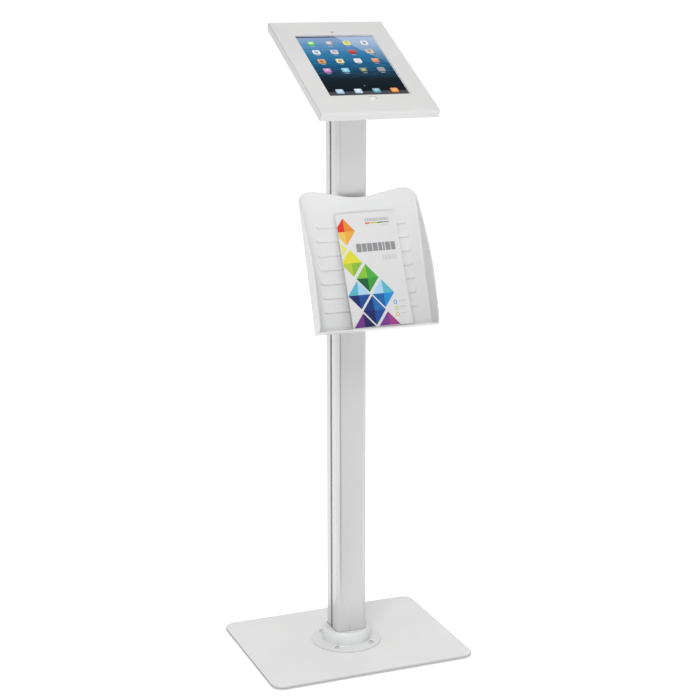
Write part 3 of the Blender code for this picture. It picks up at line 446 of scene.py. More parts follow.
def lit_screen(name):
    """The laminated front glass: a white border, and in its middle the lit picture, with a painted glare across
    its upper right.
    """
    finish = Finish(name, ior=1.12, emission_strength=1.0, specular_ior_level=0.1)
    x, y, _ = finish.split(finish.stretched((1, 1, 1), HEAD))
    width, height = SCREEN
    up = y / height + 0.5
    ripple = finish.noise(1, 4, (26, 420, 1), HEAD)
    swell = finish.noise(1, 2, (9, 60, 1), HEAD)
    water = finish.ramp(up + (swell - 0.5) * 0.1, [
        (0.1, (0.001, 0.003, 0.005)), (0.27, (0.001, 0.009, 0.017)),
        (0.38, (0.002, 0.04, 0.085)), (0.52, (0.003, 0.105, 0.235)),
        (0.68, (0.022, 0.18, 0.37)), (0.84, (0.11, 0.28, 0.52)),
        (1.0, (0.29, 0.39, 0.59))])
    band = up.smooth(0.22, 0.42) * (1 - up.smooth(0.78, 0.98))
    crest = ripple.smooth(0.5, 0.72) * band
    trough = (1 - ripple.smooth(0.28, 0.46)) * band
    across = x / width + 0.5
    # Painted glare: a lighter band across the picture's upper right, a painted reflection
    painted_glare = (across * 0.98 + up - 1.485).smooth(-0.004, 0.004) * up.smooth(0.42, 0.95)
    shelf = (1 - y.smooth(DOCK_TOP - EDGE_BLUR, DOCK_TOP)) * 0.2
    off_x, column = nearest(x, ICON_COLUMNS)
    off_y, row = nearest(y, (*ICON_ROWS, DOCK_ICONS))
    icon = rounded_box(off_x, off_y, ICON / 2, ICON_CORNER, EDGE_BLUR)
    number = (row * 4 + column + 0.5) / len(ICONS)
    stops = [i / len(ICONS) for i in range(len(ICONS))]
    field, mark = (finish.ramp(number, list(zip(stops, colours)), constant=True)
                   for colours in zip(*ICONS))
    light = (off_y / ICON + 0.5).smooth(0.1, 1.0) * 0.16
    field = finish.mix(light, field, (1.0, 1.0, 1.0))
    # Each icon's mark is a disc or a bar
    scramble = (number * 43.7).sum("FRACT")
    disc = (off_x * off_x + off_y * off_y).root().below(3.9 * MM, 0.4 * MM)
    disc = disc * scramble.smooth(0.49, 0.5)
    bar = rounded_box(off_x, off_y - 1.8 * MM, 3.6 * MM, 0.8 * MM, 0.4 * MM)
    bar = bar * (1 - scramble.smooth(0.49, 0.5))
    face = finish.mix((disc + bar).least(1) * 0.85, field, mark)
    shadow = rounded_box(off_x, off_y + 1.0 * MM, ICON / 2 + 0.6 * MM, ICON_CORNER, 2.4 * MM)
    label = rounded_box(off_x * 0.26, off_y + 10.2 * MM, 1.0 * MM, 0.2 * MM, 0.5 * MM)
    label = label * y.smooth(-60 * MM, -59 * MM)
    dot = (x * x + (y - PAGE_DOT) * (y - PAGE_DOT)).root().below(0.9 * MM, EDGE_BLUR)
    strip = y.smooth(height / 2 - STATUS_STRIP - EDGE_BLUR, height / 2 - STATUS_STRIP)
    strip = strip * (1 - painted_glare * 0.6)
    picture = water
    for share, colour in (
            (crest * 0.22, (0.2, 0.42, 0.62)), (trough * 0.45, (0.002, 0.03, 0.075)),
            (painted_glare * 0.32, (0.78, 0.86, 0.94)), (shelf, (0.3, 0.3, 0.32)),
            (shadow * 0.4, (0.0, 0.0, 0.005)), (icon, face), (label * 0.4, (0.8, 0.85, 0.9)),
            (dot * 0.7, (0.7, 0.7, 0.7)), (strip * 0.85, (0.006, 0.008, 0.014))):
        picture = finish.mix(share, picture, colour)
    inside = (1 - abs(x).smooth(width / 2 - 0.1 * MM, width / 2)) * \
        (1 - abs(y).smooth(height / 2 - 0.1 * MM, height / 2))
    finish.base(finish.mix(inside, (0.8, 0.8, 0.8), (0.004, 0.005, 0.007)))
    glow = finish.mix(inside, (0.0, 0.0, 0.0), picture)
    finish.feed(finish.shader.inputs["Emission Color"], glow)
    finish.roughness(0.18, 0.24, finish.noise(40, 2))
    return finish.material


# ---- mesh helpers


def arc(centre, radius, start, end, steps):
    """Points on an arc from start to end, in degrees."""
    angles = [math.radians(start + (end - start) * i / steps) for i in range(steps + 1)]
    return [(centre[0] + radius * math.cos(a), centre[1] + radius * math.sin(a)) for a in angles]


def rounded(width, depth, radius, steps=12):
    """Outline of a rectangle with round corners, anticlockwise."""
    x, y = width / 2 - radius, depth / 2 - radius
    outline = []
    for cx, cy, start in ((x, y, 0), (-x, y, 90), (-x, -y, 180), (x, -y, 270)):
        outline += arc((cx, cy), radius, start, start + 90, steps)
    return outline


def circle(radius, centre, steps=48):
    return arc(centre, radius, 0, 360 * (steps - 1) / steps, steps - 1)


def smooth_through(points, steps):
    """A Catmull-Rom spline through points."""
    points = [Vector(p) for p in points]
    ends = [points[0] * 2 - points[1], *points, points[-1] * 2 - points[-2]]
    line = []
    for a, b, c, d in zip(ends, ends[1:], ends[2:], ends[3:]):
        for i in range(steps):
            t = i / steps
            line.append((2 * b + (c - a) * t + (2 * a - 5 * b + 4 * c - d) * t * t
                         + (3 * b - a - 3 * c + d) * t ** 3) / 2)
    return [tuple(p) for p in line] + [tuple(points[-1])]


def plate(outline, holes, low, high, edge):
    """A flat plate with holes and round edges, from a filled curve."""
    curve = bpy.data.curves.new("plate", "CURVE")
    curve.dimensions = "2D"
    curve.fill_mode = "BOTH"
    for points in (outline, *holes):
        spline = curve.splines.new("POLY")
        spline.points.add(len(points) - 1)
        for point, (x, y) in zip(spline.points, points):
            point.co = (x, y, 0, 1)
        spline.use_cyclic_u = True
    curve.bevel_depth = edge
    curve.bevel_resolution = 2
    curve.offset = -edge
    curve.extrude = (high - low) / 2 - edge
    obj = bpy.data.objects.new("plate", curve)
    bpy.context.scene.collection.objects.link(obj)
    graph = bpy.context.evaluated_depsgraph_get()
    mesh = bpy.data.meshes.new_from_object(obj.evaluated_get(graph))
    bm = bmesh.new()
    bm.from_mesh(mesh)
    bpy.data.objects.remove(obj)
    bpy.data.curves.remove(curve)
    bpy.data.meshes.remove(mesh)
    bmesh.ops.remove_doubles(bm, verts=bm.verts, dist=1e-6)
    bmesh.ops.translate(bm, verts=bm.verts, vec=(0, 0, (low + high) / 2))
    return bm


def lathe(levels, steps, through=False):
    """Rings about Z, each (radius, z). A radius may be a function of the angle.

    With through, the last ring joins the first, round a hole.
    """
    bm = bmesh.new()
    rings = []
    for radius, z in levels:
        ring = []
        for i in range(steps):
            angle = 2 * math.pi * i / steps
            reach = radius(angle) if callable(radius) else radius
            ring.append(bm.verts.new((reach * math.cos(angle), reach * math.sin(angle), z)))
        rings.append(ring)
    for here, there in zip(rings, rings[1:] + (rings[:1] if through else [])):
        for i in range(steps):
            j = (i + 1) % steps
            bm.faces.new((here[i], here[j], there[j], there[i]))
    if not through:
        bm.faces.new(rings[0])
        bm.faces.new(rings[-1])
    return bm


def square_reach(width, depth, corner):
    """Distance from the centre to a rounded rectangle's edge, as a function of the angle."""
    half_x, half_y = width / 2, depth / 2

    def reach(angle):
        cos, sin = abs(math.cos(angle)), abs(math.sin(angle))
        straight = min(half_x / max(cos, 1e-9), half_y / max(sin, 1e-9))
        centre_x, centre_y = half_x - corner, half_y - corner
        if straight * cos <= centre_x or straight * sin <= centre_y:
            return straight
        along = cos * centre_x + sin * centre_y
        aside = centre_x ** 2 + centre_y ** 2 - corner ** 2
        return along + math.sqrt(along * along - aside)
    return reach


def hexagon_reach(across_flats):
    """Distance from the centre to a hexagon's edge, as a function of the angle."""
    def reach(angle):
        return across_flats / 2 / math.cos((angle + math.pi / 6) % (math.pi / 3) - math.pi / 6)
    return reach


def skin(bm, front, back):
    """Faces a sheet's two sides, from its front and back grids of vertices."""
    for r in range(len(front) - 1):
        for c in range(len(front[0]) - 1):
            bm.faces.new((front[r][c], front[r][c + 1], front[r + 1][c + 1], front[r + 1][c]))
            bm.faces.new((back[r][c], back[r + 1][c], back[r + 1][c + 1], back[r][c + 1]))


def border(last_r, last_c):
    """The (row, column) places round a grid's edge, in order."""
    edge = [(0, c) for c in range(last_c)] + [(r, last_c) for r in range(last_r)]
    edge += [(last_r, c) for c in range(last_c, 0, -1)]
    return edge + [(r, 0) for r in range(last_r, 0, -1)]


def joined(*parts):
    """Several shapes in one mesh."""
    whole = bmesh.new()
    for part in parts:
        mesh = bpy.data.meshes.new("part")
        part.to_mesh(mesh)
        part.free()
        whole.from_mesh(mesh)
        bpy.data.meshes.remove(mesh)
    return whole


def flat_look(obj):
    """Keeps flat faces flat beside their round edges."""
    modifier = obj.modifiers.new("weighted_normals", "WEIGHTED_NORMAL")
    modifier.keep_sharp = True
    modifier.weight = 60


def make_piece(name, bm, look, node, place=None, sharp=38):
    """A piece that stands for a CAD node, on its body, with the given finish."""
    if place is not None:
        bm.transform(place)
    bmesh.ops.recalc_face_normals(bm, faces=bm.faces)
    mesh = bpy.data.meshes.new(name)
    bm.to_mesh(mesh)
    bm.free()
    mesh.materials.append(look)
    mesh.shade_smooth()
    mesh.set_sharp_from_angle(angle=math.radians(sharp))
    piece = bpy.data.objects.new(name, mesh)
    bpy.context.scene.collection.objects.link(piece)
    flat_look(piece)
    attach(piece, BODY[node])
    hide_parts(node)


# ---- base

PLATE_EDGE = 0.8 * MM
POLE_GAP = 0.4 * MM
FLANGE = 3 * MM
COLLAR_ROOT = 47.2 * MM
COLLAR_FILLET = 1.6 * MM
# The collar's bell: the radius at each height, up to the top's own radius
BELL = ((45.6 * MM, 4.6 * MM), (46.1 * MM, 8 * MM), (46.3 * MM, 13 * MM), (46.0 * MM, 18 * MM),
        (45.2 * MM, 22 * MM), (43.8 * MM, 25.2 * MM), (42.5 * MM, 27.2 * MM))
BELL_TOP = 41.2 * MM
SCREW_HEAD = 2.8 * MM


def centre_of(node):
    low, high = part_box(node)
    return (low + high) / 2


def make_base(look):
    low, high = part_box("base_plate")
    holes = [circle(radius, centre_of(f"{node}_{i}").xy, 24)
             for node, radius in (("collar_screw", 2.6 * MM), ("pole_bolt", 2.9 * MM))
             for i in range(1, 5)]
    outline = rounded(high.x - low.x, high.y - low.y, PLATE_CORNER, 16)
    bm = plate(outline, holes, low.z, high.z, PLATE_EDGE)
    make_piece("base_top_plate", bm, look, "base_plate")


def make_collar(look):
    """The round collar at the pole's foot, open in the middle for the pole."""
    low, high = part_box("pole_collar")
    pole_low, pole_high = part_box("pole")
    width, depth = (pole_high - pole_low).xy
    hole = square_reach(width + 2 * POLE_GAP, depth + 2 * POLE_GAP, 9.4 * MM)
    wide_hole = square_reach(width + 4 * POLE_GAP, depth + 4 * POLE_GAP, 9.8 * MM)
    rim = high.x
    profile = [(rim - 0.3 * MM, 0), (rim, 0.3 * MM)]
    profile += arc((rim - PLATE_EDGE, FLANGE - PLATE_EDGE), PLATE_EDGE, 0, 90, 5)
    profile += arc((COLLAR_ROOT, FLANGE + COLLAR_FILLET), COLLAR_FILLET, 270, 180, 6)
    profile += smooth_through([*BELL, (BELL_TOP, high.z - low.z)], 4)[1:]
    levels = [(radius, low.z + z) for radius, z in profile]
    levels += [(wide_hole, high.z - 0.05 * MM), (hole, high.z - 0.7 * MM), (hole, low.z)]
    make_piece("foot_collar", lathe(levels, 144, through=True), look, "pole_collar", sharp=50)


def pan_head(radius, height, socket, socket_depth, shank, length):
    """A screw with a domed head on Z 0 and a hexagon socket. Its shank points down."""
    dome = [(radius * math.cos(a), height * (0.42 + 0.58 * math.sin(a)))
            for a in (math.radians(9 * i) for i in range(8))]
    rim = socket * 0.62
    levels = [(shank * 0.7, -length), (shank, -length + shank * 0.3), (shank, 0),
              (radius * 0.97, 0), (radius, height * 0.06), *dome, (rim, height),
              (hexagon_reach(socket), height - 0.15 * MM),
              (hexagon_reach(socket), height - socket_depth),
              (socket * 0.2, height - socket_depth - 0.3 * MM)]
    return lathe(levels, 48)


def make_collar_screws(look):
    for i in range(1, 5):
        low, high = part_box(f"collar_screw_{i}")
        seat = high.z - SCREW_HEAD
        bm = pan_head((high.x - low.x) / 2, SCREW_HEAD, 3 * MM, 1.5 * MM, 2.3 * MM, seat - low.z)
        middle = (low + high) / 2
        turn = Matrix.Rotation(0.4 * i, 4, "Z")
        make_piece(f"collar_cap_screw_{i}", bm, look, f"collar_screw_{i}",
                   Matrix.Translation((middle.x, middle.y, seat)) @ turn)


# ---- enclosure and tablet

BUTTON_PLACE = -110 * MM
CAMERA_HOLE = 109.6 * MM


def head_box(node):
    """A node's low and high corners in the head's frame."""
    inverse = HEAD.inverted()
    corners = [inverse @ vertex.co for vertex in frame["nodes"][node].data.vertices]
    return [Vector(end(c[i] for c in corners) for i in range(3)) for end in (min, max)]


def make_glass(look):
    """The tablet's front glass, with its button and camera holes."""
    low, high = head_box("front_glass")
    holes = [circle(5.9 * MM, (0, BUTTON_PLACE)), circle(2.4 * MM, (0, CAMERA_HOLE), 32)]
    bm = plate(rounded(high.x - low.x, high.y - low.y, 10 * MM), holes, low.z, high.z, 0.2 * MM)
    make_piece("laminated_glass", bm, look, "front_glass", HEAD)


def make_button(look):
    """A dished button in a fine ring."""
    low, top = (corner.z for corner in head_box("home_button"))
    place = Matrix.Translation((0, BUTTON_PLACE, 0))
    radius = 5.5 * MM
    levels = [(4.2 * MM, low), (radius, low + 0.8 * MM), (radius, top - 0.3 * MM)]
    levels += [(radius - 0.15 * MM, top - 0.05 * MM), (5.0 * MM, top)]
    levels += [(4.8 * MM * math.cos(a), top - 0.42 * MM * math.sin(a) - 0.03 * MM)
               for a in (math.radians(10 * i) for i in range(9))]
    make_piece("dished_home_button", lathe(levels, 64), look, "home_button", HEAD @ place)


# ---- leaflet holder

WALL = 2.5 * MM
HOLDER_HALF = 111 * MM
HOLDER_FOLD = 4.5 * MM
# Half the panel's flat width, and the middle surface's radius in the fold
FLAT = HOLDER_HALF - HOLDER_FOLD
BEND = HOLDER_FOLD + WALL / 2
HOLDER_TOP = 237 * MM
SHOULDER = 8 * MM
HUMP = 13.5 * MM
HUMP_PLACE = 90 * MM
WING_DEPTH = 35 * MM
WING_SPLAY = 0.01
WING_FULL = 90 * MM
FLOOR_THICK = 3 * MM
FLOOR_DEPTH = 28 * MM
RIB_COUNT = 7
RIB_PITCH = 25 * MM
RIB_LOW = 33.5 * MM
RIB_HEIGHT = 14 * MM
RIB_HALF = 89.5 * MM
RIB_CORNER = 5.5 * MM
RIB_RISE = 1.9 * MM
# Rows in the panel's wavy top, and columns along a wing
CROWN_STEPS = 14
WING_STEPS = 18


def smoothstep(value, low, high):
    part = min(1.0, max(0.0, (value - low) / (high - low)))
    return part * part * (3 - 2 * part)


def holder_top(x):
    """Height of the panel's wavy top edge."""
    hump = HUMP * (1 - math.cos(math.pi * min(abs(x) / HUMP_PLACE, 1))) / 2
    fall = max(0.0, abs(x) - HUMP_PLACE) / (HOLDER_HALF - HUMP_PLACE)
    return HOLDER_TOP + hump - SHOULDER * fall * fall


def wing_depth(height):
    """How far a side wing stands out of the panel, at a height up the panel."""
    end = HOLDER_TOP + SHOULDER
    if height >= WING_FULL:
        part = (height - WING_FULL) / (end - WING_FULL)
        return max(1.5 * MM, WING_DEPTH * (1 - part ** 1.6))
    part = 1 - height / WING_FULL
    round_off = max(0.0, 1 - height / (12 * MM))
    return WING_DEPTH - 4 * MM * part * part - 4 * MM * round_off * round_off


def rib_rise(x, height):
    """How far a louvre stands out of the panel: a step below and at its ends, and none above."""
    number = round((height - RIB_LOW - RIB_HEIGHT / 2) / RIB_PITCH)
    if not 0 <= number < RIB_COUNT:
        return 0.0
    up = height - RIB_LOW - number * RIB_PITCH
    half = RIB_HALF - (3.5 * MM if number == RIB_COUNT - 1 else 0)
    over_x = max(0.0, abs(x) - (half - RIB_CORNER))
    over_y = max(0.0, RIB_CORNER - up)
    step = smoothstep(RIB_CORNER - math.hypot(over_x, over_y), 0, 1.2 * MM)
    return RIB_RISE * step * (1 - smoothstep(up, 2.5 * MM, RIB_HEIGHT))


def panel_point(x, height):
    """A point on the sheet's middle surface. Past the flat, x runs on along the fold and wing."""
    if abs(x) <= FLAT:
        return Vector((x, WALL / 2, height))
    run = abs(x) - FLAT
    quarter = BEND * math.pi / 2
    if run < quarter:
        angle = run / BEND
        across, out = FLAT + BEND * math.sin(angle), HOLDER_FOLD - BEND * math.cos(angle)
    else:
        past = run - quarter
        across, out = FLAT + BEND + WING_SPLAY * past, HOLDER_FOLD + past
    return Vector((math.copysign(across, x), -out, height))


def wing_run(height):
    """The length of sheet past the flat panel at a height."""
    depth = wing_depth(max(height, 0)) - WALL / 2
    if depth < HOLDER_FOLD:
        return BEND * math.acos(min(1.0, max(-1.0, (HOLDER_FOLD - depth) / BEND)))
    return BEND * math.pi / 2 + depth - HOLDER_FOLD


def spaced(low, high, step):
    """Even places from low up to high, which is left out, at most a step apart."""
    count = max(1, math.ceil((high - low) / step - 1e-6))
    return [low + (high - low) * i / count for i in range(count)]


def holder_columns():
    """Places across the flat panel: close together at the louvres' ends."""
    right = spaced(0, 78 * MM, 6 * MM) + spaced(78 * MM, 91 * MM, 0.8 * MM)
    right += [*spaced(91 * MM, FLAT, 2.5 * MM), FLAT]
    return [-x for x in reversed(right[1:])] + right


def holder_rows():
    """Heights up the panel: close together at the louvres."""
    low = 0.2 * MM - FLOOR_THICK
    first, last = RIB_LOW - 2 * MM, RIB_LOW + RIB_PITCH * (RIB_COUNT - 1) + RIB_HEIGHT
    return spaced(low, first, 3.5 * MM) + spaced(first, last, 0.7 * MM) + [last]


def make_holder(look):
    """The moulded sheet: panel, folds and wings with round rims, louvres, and the floor."""
    columns, rows = holder_columns(), holder_rows()
    rim = WALL / 2
    bm = bmesh.new()

    def height_at(row, x):
        if row < len(rows):
            return rows[row]
        up = (row - len(rows) + 1) / CROWN_STEPS
        return rows[-1] + (holder_top(x) - rim - rows[-1]) * up

    def surface(column, part, row):
        """A middle-surface point: on the flat, or from its end, part of the way along the wing."""
        if part == 0:
            return panel_point(column, height_at(row, column))
        height = height_at(row, FLAT + HOLDER_FOLD * min(1.0, part * 1.5))
        run = wing_run(height) - rim * 0.6
        return panel_point(math.copysign(FLAT + max(run, 1 * MM) * part, column), height)

    places = [(columns[0], i / WING_STEPS) for i in range(WING_STEPS, 0, -1)]
    places += [(c, 0) for c in columns]
    places += [(columns[-1], i / WING_STEPS) for i in range(1, WING_STEPS + 1)]
    row_count = len(rows) + CROWN_STEPS
    middle = [[surface(c, part, r) for c, part in places] for r in range(row_count)]

    def normal(r, c):
        """Out of the panel's front."""
        left, right = middle[r][max(c - 1, 0)], middle[r][min(c + 1, len(places) - 1)]
        below, above = middle[max(r - 1, 0)][c], middle[min(r + 1, row_count - 1)][c]
        return (right - left).cross(above - below).normalized()

    normals = [[normal(r, c) for c in range(len(places))] for r in range(row_count)]
    front, back = [], []
    for r in range(row_count):
        front.append([])
        back.append([])
        for c, (x, part) in enumerate(places):
            point, out = middle[r][c], normals[r][c]
            rise = rib_rise(x, point.z) if part == 0 else 0
            front[-1].append(bm.verts.new(point + out * (rim + rise)))
            back[-1].append(bm.verts.new(point - out * rim))
    skin(bm, front, back)
    last_c, last_r = len(places) - 1, row_count - 1
    # The rim is round, but flat along the foot
    bands = []
    for r, c in border(last_r, last_c):
        point, out = middle[r][c], normals[r][c]
        inner = middle[min(max(r, 1), last_r - 1)][min(max(c, 1), last_c - 1)]
        away = point - inner
        away = (away - out * away.dot(out)).normalized()
        turns = (45, 90, 135) if r > 0 else ()
        bands.append([front[r][c],
                      *(bm.verts.new(point + (out * math.cos(t) + away * math.sin(t)) * rim)
                        for t in map(math.radians, turns)),
                      back[r][c]])
    for here, there in zip(bands, bands[1:] + bands[:1]):
        if len(here) == len(there):
            for i in range(len(here) - 1):
                bm.faces.new((here[i], there[i], there[i + 1], here[i + 1]))
        else:
            bm.faces.new(here + there[::-1])
    half, corner = HOLDER_HALF + 1.2 * MM, 6 * MM
    outline = arc((half - corner, corner - FLOOR_DEPTH), corner, 270, 360, 8)
    outline += [(half, 1.2 * MM), (-half, 1.2 * MM)]
    outline += arc((corner - half, corner - FLOOR_DEPTH), corner, 180, 270, 8)
    floor = plate(outline, [], -FLOOR_THICK, 0, 0.5 * MM)
    bm = joined(bm, floor)
    make_piece("moulded_leaflet_holder", bm, look, "leaflet_holder", HOLDER, sharp=50)


# ---- leaflets

LEAFLET_PLACE = (10 * MM, -15.8 * MM, 1.4 * MM)
LEAFLET_LEAN = math.radians(3.9)
LEAFLET_TURN = math.radians(-0.8)
LEAFLET_SIZE = (114 * MM, 207 * MM)
LEAFLET_COUNT = 8
STACK_THICK = 4 * MM
SHEET_GAP = 0.08 * MM
INK_THICK = 0.04 * MM
# How far a leaflet's top and its long edges curve back
TOP_BOW, SIDE_BOW = 0.5 * MM, 0.25 * MM
MOST_BOW = 0.75 * MM


def bow(x, z):
    """How far a leaflet curves back: least at its middle and foot."""
    width, height = LEAFLET_SIZE
    return TOP_BOW * (z / height) ** 2 + SIDE_BOW * (2 * x / width) ** 2


def curved_sheet(width, height, near, far, turn, shift):
    """A sheet from depth near to depth far, curved as the leaflets are."""
    bm = bmesh.new()
    columns, rows = 12, 20

    def vertex(r, c, depth):
        x, z = width * (c / columns - 0.5), height * r / rows
        px = x * math.cos(turn) - z * math.sin(turn) + shift[0]
        pz = x * math.sin(turn) + z * math.cos(turn) + shift[1]
        return bm.verts.new((px, depth + bow(px, pz), pz))

    front, back = ([[vertex(r, c, depth) for c in range(columns + 1)] for r in range(rows + 1)]
                   for depth in (near, far))
    skin(bm, front, back)
    edge = border(rows, columns)
    for (r0, c0), (r1, c1) in zip(edge, edge[1:] + edge[:1]):
        bm.faces.new((front[r0][c0], back[r0][c0], back[r1][c1], front[r1][c1]))
    return bm


# The print: each facet is (colour, points) in the leaflet's width and height, from 0 to 1
PRINT_MARGIN = 0.006
PRINT_CELLS = 12
FACET_SHRINK = 0.999
RED, ORANGE = (0.76, 0.03, 0.02), (0.8, 0.27, 0.035)
AMBER, GOLD = (0.83, 0.42, 0.06), (0.86, 0.54, 0.11)
LEMON, STRAW = (0.76, 0.72, 0.04), (0.78, 0.76, 0.2)
LIME, OLIVE = (0.49, 0.6, 0.05), (0.26, 0.5, 0.05)
GRASS, LEAF = (0.24, 0.56, 0.04), (0.08, 0.42, 0.06)
PINE, FERN = (0.004, 0.11, 0.04), (0.05, 0.34, 0.05)
AQUA, SKY = (0.1, 0.47, 0.6), (0.42, 0.67, 0.86)
NAVY, COBALT = (0.009, 0.018, 0.13), (0.009, 0.075, 0.33)
AZURE, CYAN = (0.006, 0.13, 0.4), (0.015, 0.27, 0.68)
INDIGO, OCEAN = (0.006, 0.04, 0.21), (0.012, 0.15, 0.43)
VIOLET, PLUM = (0.17, 0.035, 0.26), (0.2, 0.04, 0.3)
ROSE, DUSK = (0.37, 0.05, 0.26), (0.016, 0.016, 0.11)
GREY, PALE, FAINT = (0.29, 0.29, 0.3), (0.5, 0.5, 0.51), (0.64, 0.64, 0.65)


def diamond(centre, reach, colours, lean=0.0):
    """Four facets round a middle, which lean moves sideways: two above it and two below."""
    (x, z), (rx, rz) = centre, reach
    top, low, left, right = (x, z + rz), (x, z - rz), (x - rx, z), (x + rx, z)
    middle = (x + lean, z)
    return list(zip(colours, ((top, left, middle), (top, middle, right),
                              (left, low, middle), (middle, low, right))))


def clipped(points, margin):
    """The part of a polygon that lies a margin inside 0 and 1 on its first axis."""
    for limit, keep in ((margin, 1), (1 - margin, -1)):
        kept = []
        for (x0, z0), (x1, z1) in zip(points, points[1:] + points[:1]):
            inside0, inside1 = keep * (x0 - limit) >= 0, keep * (x1 - limit) >= 0
            if inside0:
                kept.append((x0, z0))
            if inside0 != inside1:
                t = (limit - x0) / (x1 - x0)
                kept.append((limit, z0 + (z1 - z0) * t))
        points = kept
    return points


def ring(centre, outer, inner, steps=16):
    """A ring's pieces, round on the leaflet."""
    tall = LEAFLET_SIZE[0] / LEAFLET_SIZE[1]
    x, z = centre
    turns = [2 * math.pi * i / steps for i in range(steps + 1)]
    far, near = ([(x + r * math.cos(a), z + r * tall * math.sin(a)) for a in turns]
                 for r in (outer, inner))
    return [(far[i], far[i + 1], near[i + 1], near[i]) for i in range(steps)]


def blocks(colour, start, end, low, high, widths, space):
    """A line of type, as plain blocks."""
    room = (end - start - space * (len(widths) - 1)) / sum(widths)
    line = []
    for width in widths:
        line.append((colour, start, start + width * room, low, high))
        start += width * room + space
    return line


def leaflet_print():
    """Every facet of the print, with plain bars where type would be."""
    facets = []
    reach = (0.184, 0.124)
    facets += diamond((0.115, 0.841), (0.174, 0.12), (RED, ORANGE, GOLD, AMBER))
    facets += diamond((-0.08, 0.69), reach, (GOLD, STRAW, STRAW, STRAW))
    facets += diamond((0.146, 0.567), (0.175, 0.12), (LEMON, LEMON, LIME, OLIVE), -0.006)
    facets += diamond((0.364, 0.427), reach, (GRASS, LEAF, PINE, FERN))
    facets += diamond((0.184, 0.286), reach, (AQUA, SKY, NAVY, COBALT), -0.014)
    facets += diamond((0.582, 0.285), reach, (SKY, AQUA, AZURE, CYAN), 0.008)
    facets += diamond((0.391, 0.145), (0.187, 0.128), (INDIGO, OCEAN, NAVY, COBALT))
    facets += diamond((0.196, 0.004), reach, (VIOLET, DUSK, VIOLET, DUSK))
    facets += diamond((0.606, 0.002), reach, (PLUM, ROSE, PLUM, ROSE), -0.008)
    bars = blocks(GREY, 0.265, 0.915, 0.656, 0.728, (8, 7, 8, 8, 6, 3, 8, 7), 0.012)
    bars += blocks(FAINT, 0.66, 0.905, 0.572, 0.618, (5, 6, 5, 4, 5), 0.01)
    bars += blocks(PALE, 0.475, 0.875, 0.918, 0.946, (5, 4, 5, 5, 5, 4, 1, 5, 5, 6, 4), 0.008)
    bars += [(RED, 0.475, 0.55, 0.898, 0.909), (AMBER, 0.55, 0.61, 0.898, 0.909),
             (LIME, 0.61, 0.69, 0.898, 0.909), (FERN, 0.69, 0.77, 0.898, 0.909),
             (GREY, 0.77, 0.875, 0.898, 0.909), (FAINT, 0.725, 0.865, 0.877, 0.884)]
    for i, colour in enumerate((CYAN, LIME, AMBER)):
        x, z = 0.757 + 0.004 * i, 0.2 - 0.054 * i
        bars.append((PALE, 0.815, 0.93, z + 0.008, z + 0.013))
        bars.append((FAINT, 0.815, 0.9, z - 0.006, z - 0.001))
        facets += [(colour, part) for part in ring((x, z), 0.032, 0.019)]
    return facets + [(colour, [(x0, z0), (x1, z0), (x1, z1), (x0, z1)])
                     for colour, x0, x1, z0, z1 in bars]


def make_print(look, face):
    """The ink, as thin closed facets on the front leaflet."""
    width, height = LEAFLET_SIZE
    bm = bmesh.new()
    ink = bm.loops.layers.float_color.new("ink")
    for colour, points in leaflet_print():
        flipped = [(z, x) for x, z in clipped(list(points), PRINT_MARGIN)]
        points = [(x, z) for z, x in clipped(flipped, PRINT_MARGIN)]
        if len(points) < 3:
            continue
        centre = Vector((sum(p[0] for p in points), sum(p[1] for p in points))) / len(points)
        points = [centre + (Vector(p) - centre) * FACET_SHRINK for p in points]
        low = [bm.verts.new(((x - 0.5) * width, face, z * height)) for x, z in points]
        high = [bm.verts.new((v.co.x, face - INK_THICK, v.co.z)) for v in low]
        faces = [bm.faces.new(low), bm.faces.new(high[::-1])]
        for i in range(len(points)):
            j = (i + 1) % len(points)
            faces.append(bm.faces.new((low[i], high[i], high[j], low[j])))
        for f in faces:
            for loop in f.loops:
                loop[ink] = (*colour, 1)
    # Cuts, so that the ink can follow the curve
    cuts = [(((i / PRINT_CELLS - 0.5) * width, 0, 0), (1, 0, 0)) for i in range(1, PRINT_CELLS)]
    cuts += [((0, 0, i / PRINT_CELLS * height), (0, 0, 1)) for i in range(1, PRINT_CELLS)]
    for place, normal in cuts:
        bmesh.ops.bisect_plane(bm, geom=bm.verts[:] + bm.edges[:] + bm.faces[:],
                               plane_co=place, plane_no=normal)
    for vertex in bm.verts:
        vertex.co.y += bow(vertex.co.x, vertex.co.z)
    make_piece("leaflet_print", bm, look, "leaflet_stack", stack_place(), sharp=30)


def stack_place():
    lean = Matrix.Rotation(-LEAFLET_LEAN, 4, "X")
    turn = Matrix.Rotation(LEAFLET_TURN, 4, "Y")
    return HOLDER @ Matrix.Translation(LEAFLET_PLACE) @ lean @ turn


def make_leaflets(look, print_look):
    """A stack of leaflets with uneven edges. The front one is printed."""
    draw = random.Random(7)
    width, height = LEAFLET_SIZE
    room = STACK_THICK - MOST_BOW - 2 * INK_THICK
    pitch = room / LEAFLET_COUNT
    sheets = []
    for i in range(LEAFLET_COUNT):
        far = -MOST_BOW - i * pitch
        near = far - pitch + SHEET_GAP
        front = i == LEAFLET_COUNT - 1
        turn = 0 if front else draw.uniform(-0.0035, 0.0035)
        shift = (0, 0) if front else (draw.uniform(-0.5, 0.5) * MM, draw.uniform(0, 0.5) * MM)
        shrink = 0 if front else 1.6 * MM
        sheets.append(curved_sheet(width - shrink, height - shrink, near, far, turn, shift))
    face = -MOST_BOW - room + SHEET_GAP
    make_piece("leaflets", joined(*sheets), look, "leaflet_stack", stack_place(), sharp=40)
    make_print(print_look, face)


# ---- CAD nodes that stay


ROUND_EDGE = 0.3 * MM
BEVEL_ANGLE = math.radians(34)
SHARP_ANGLE = math.radians(46)


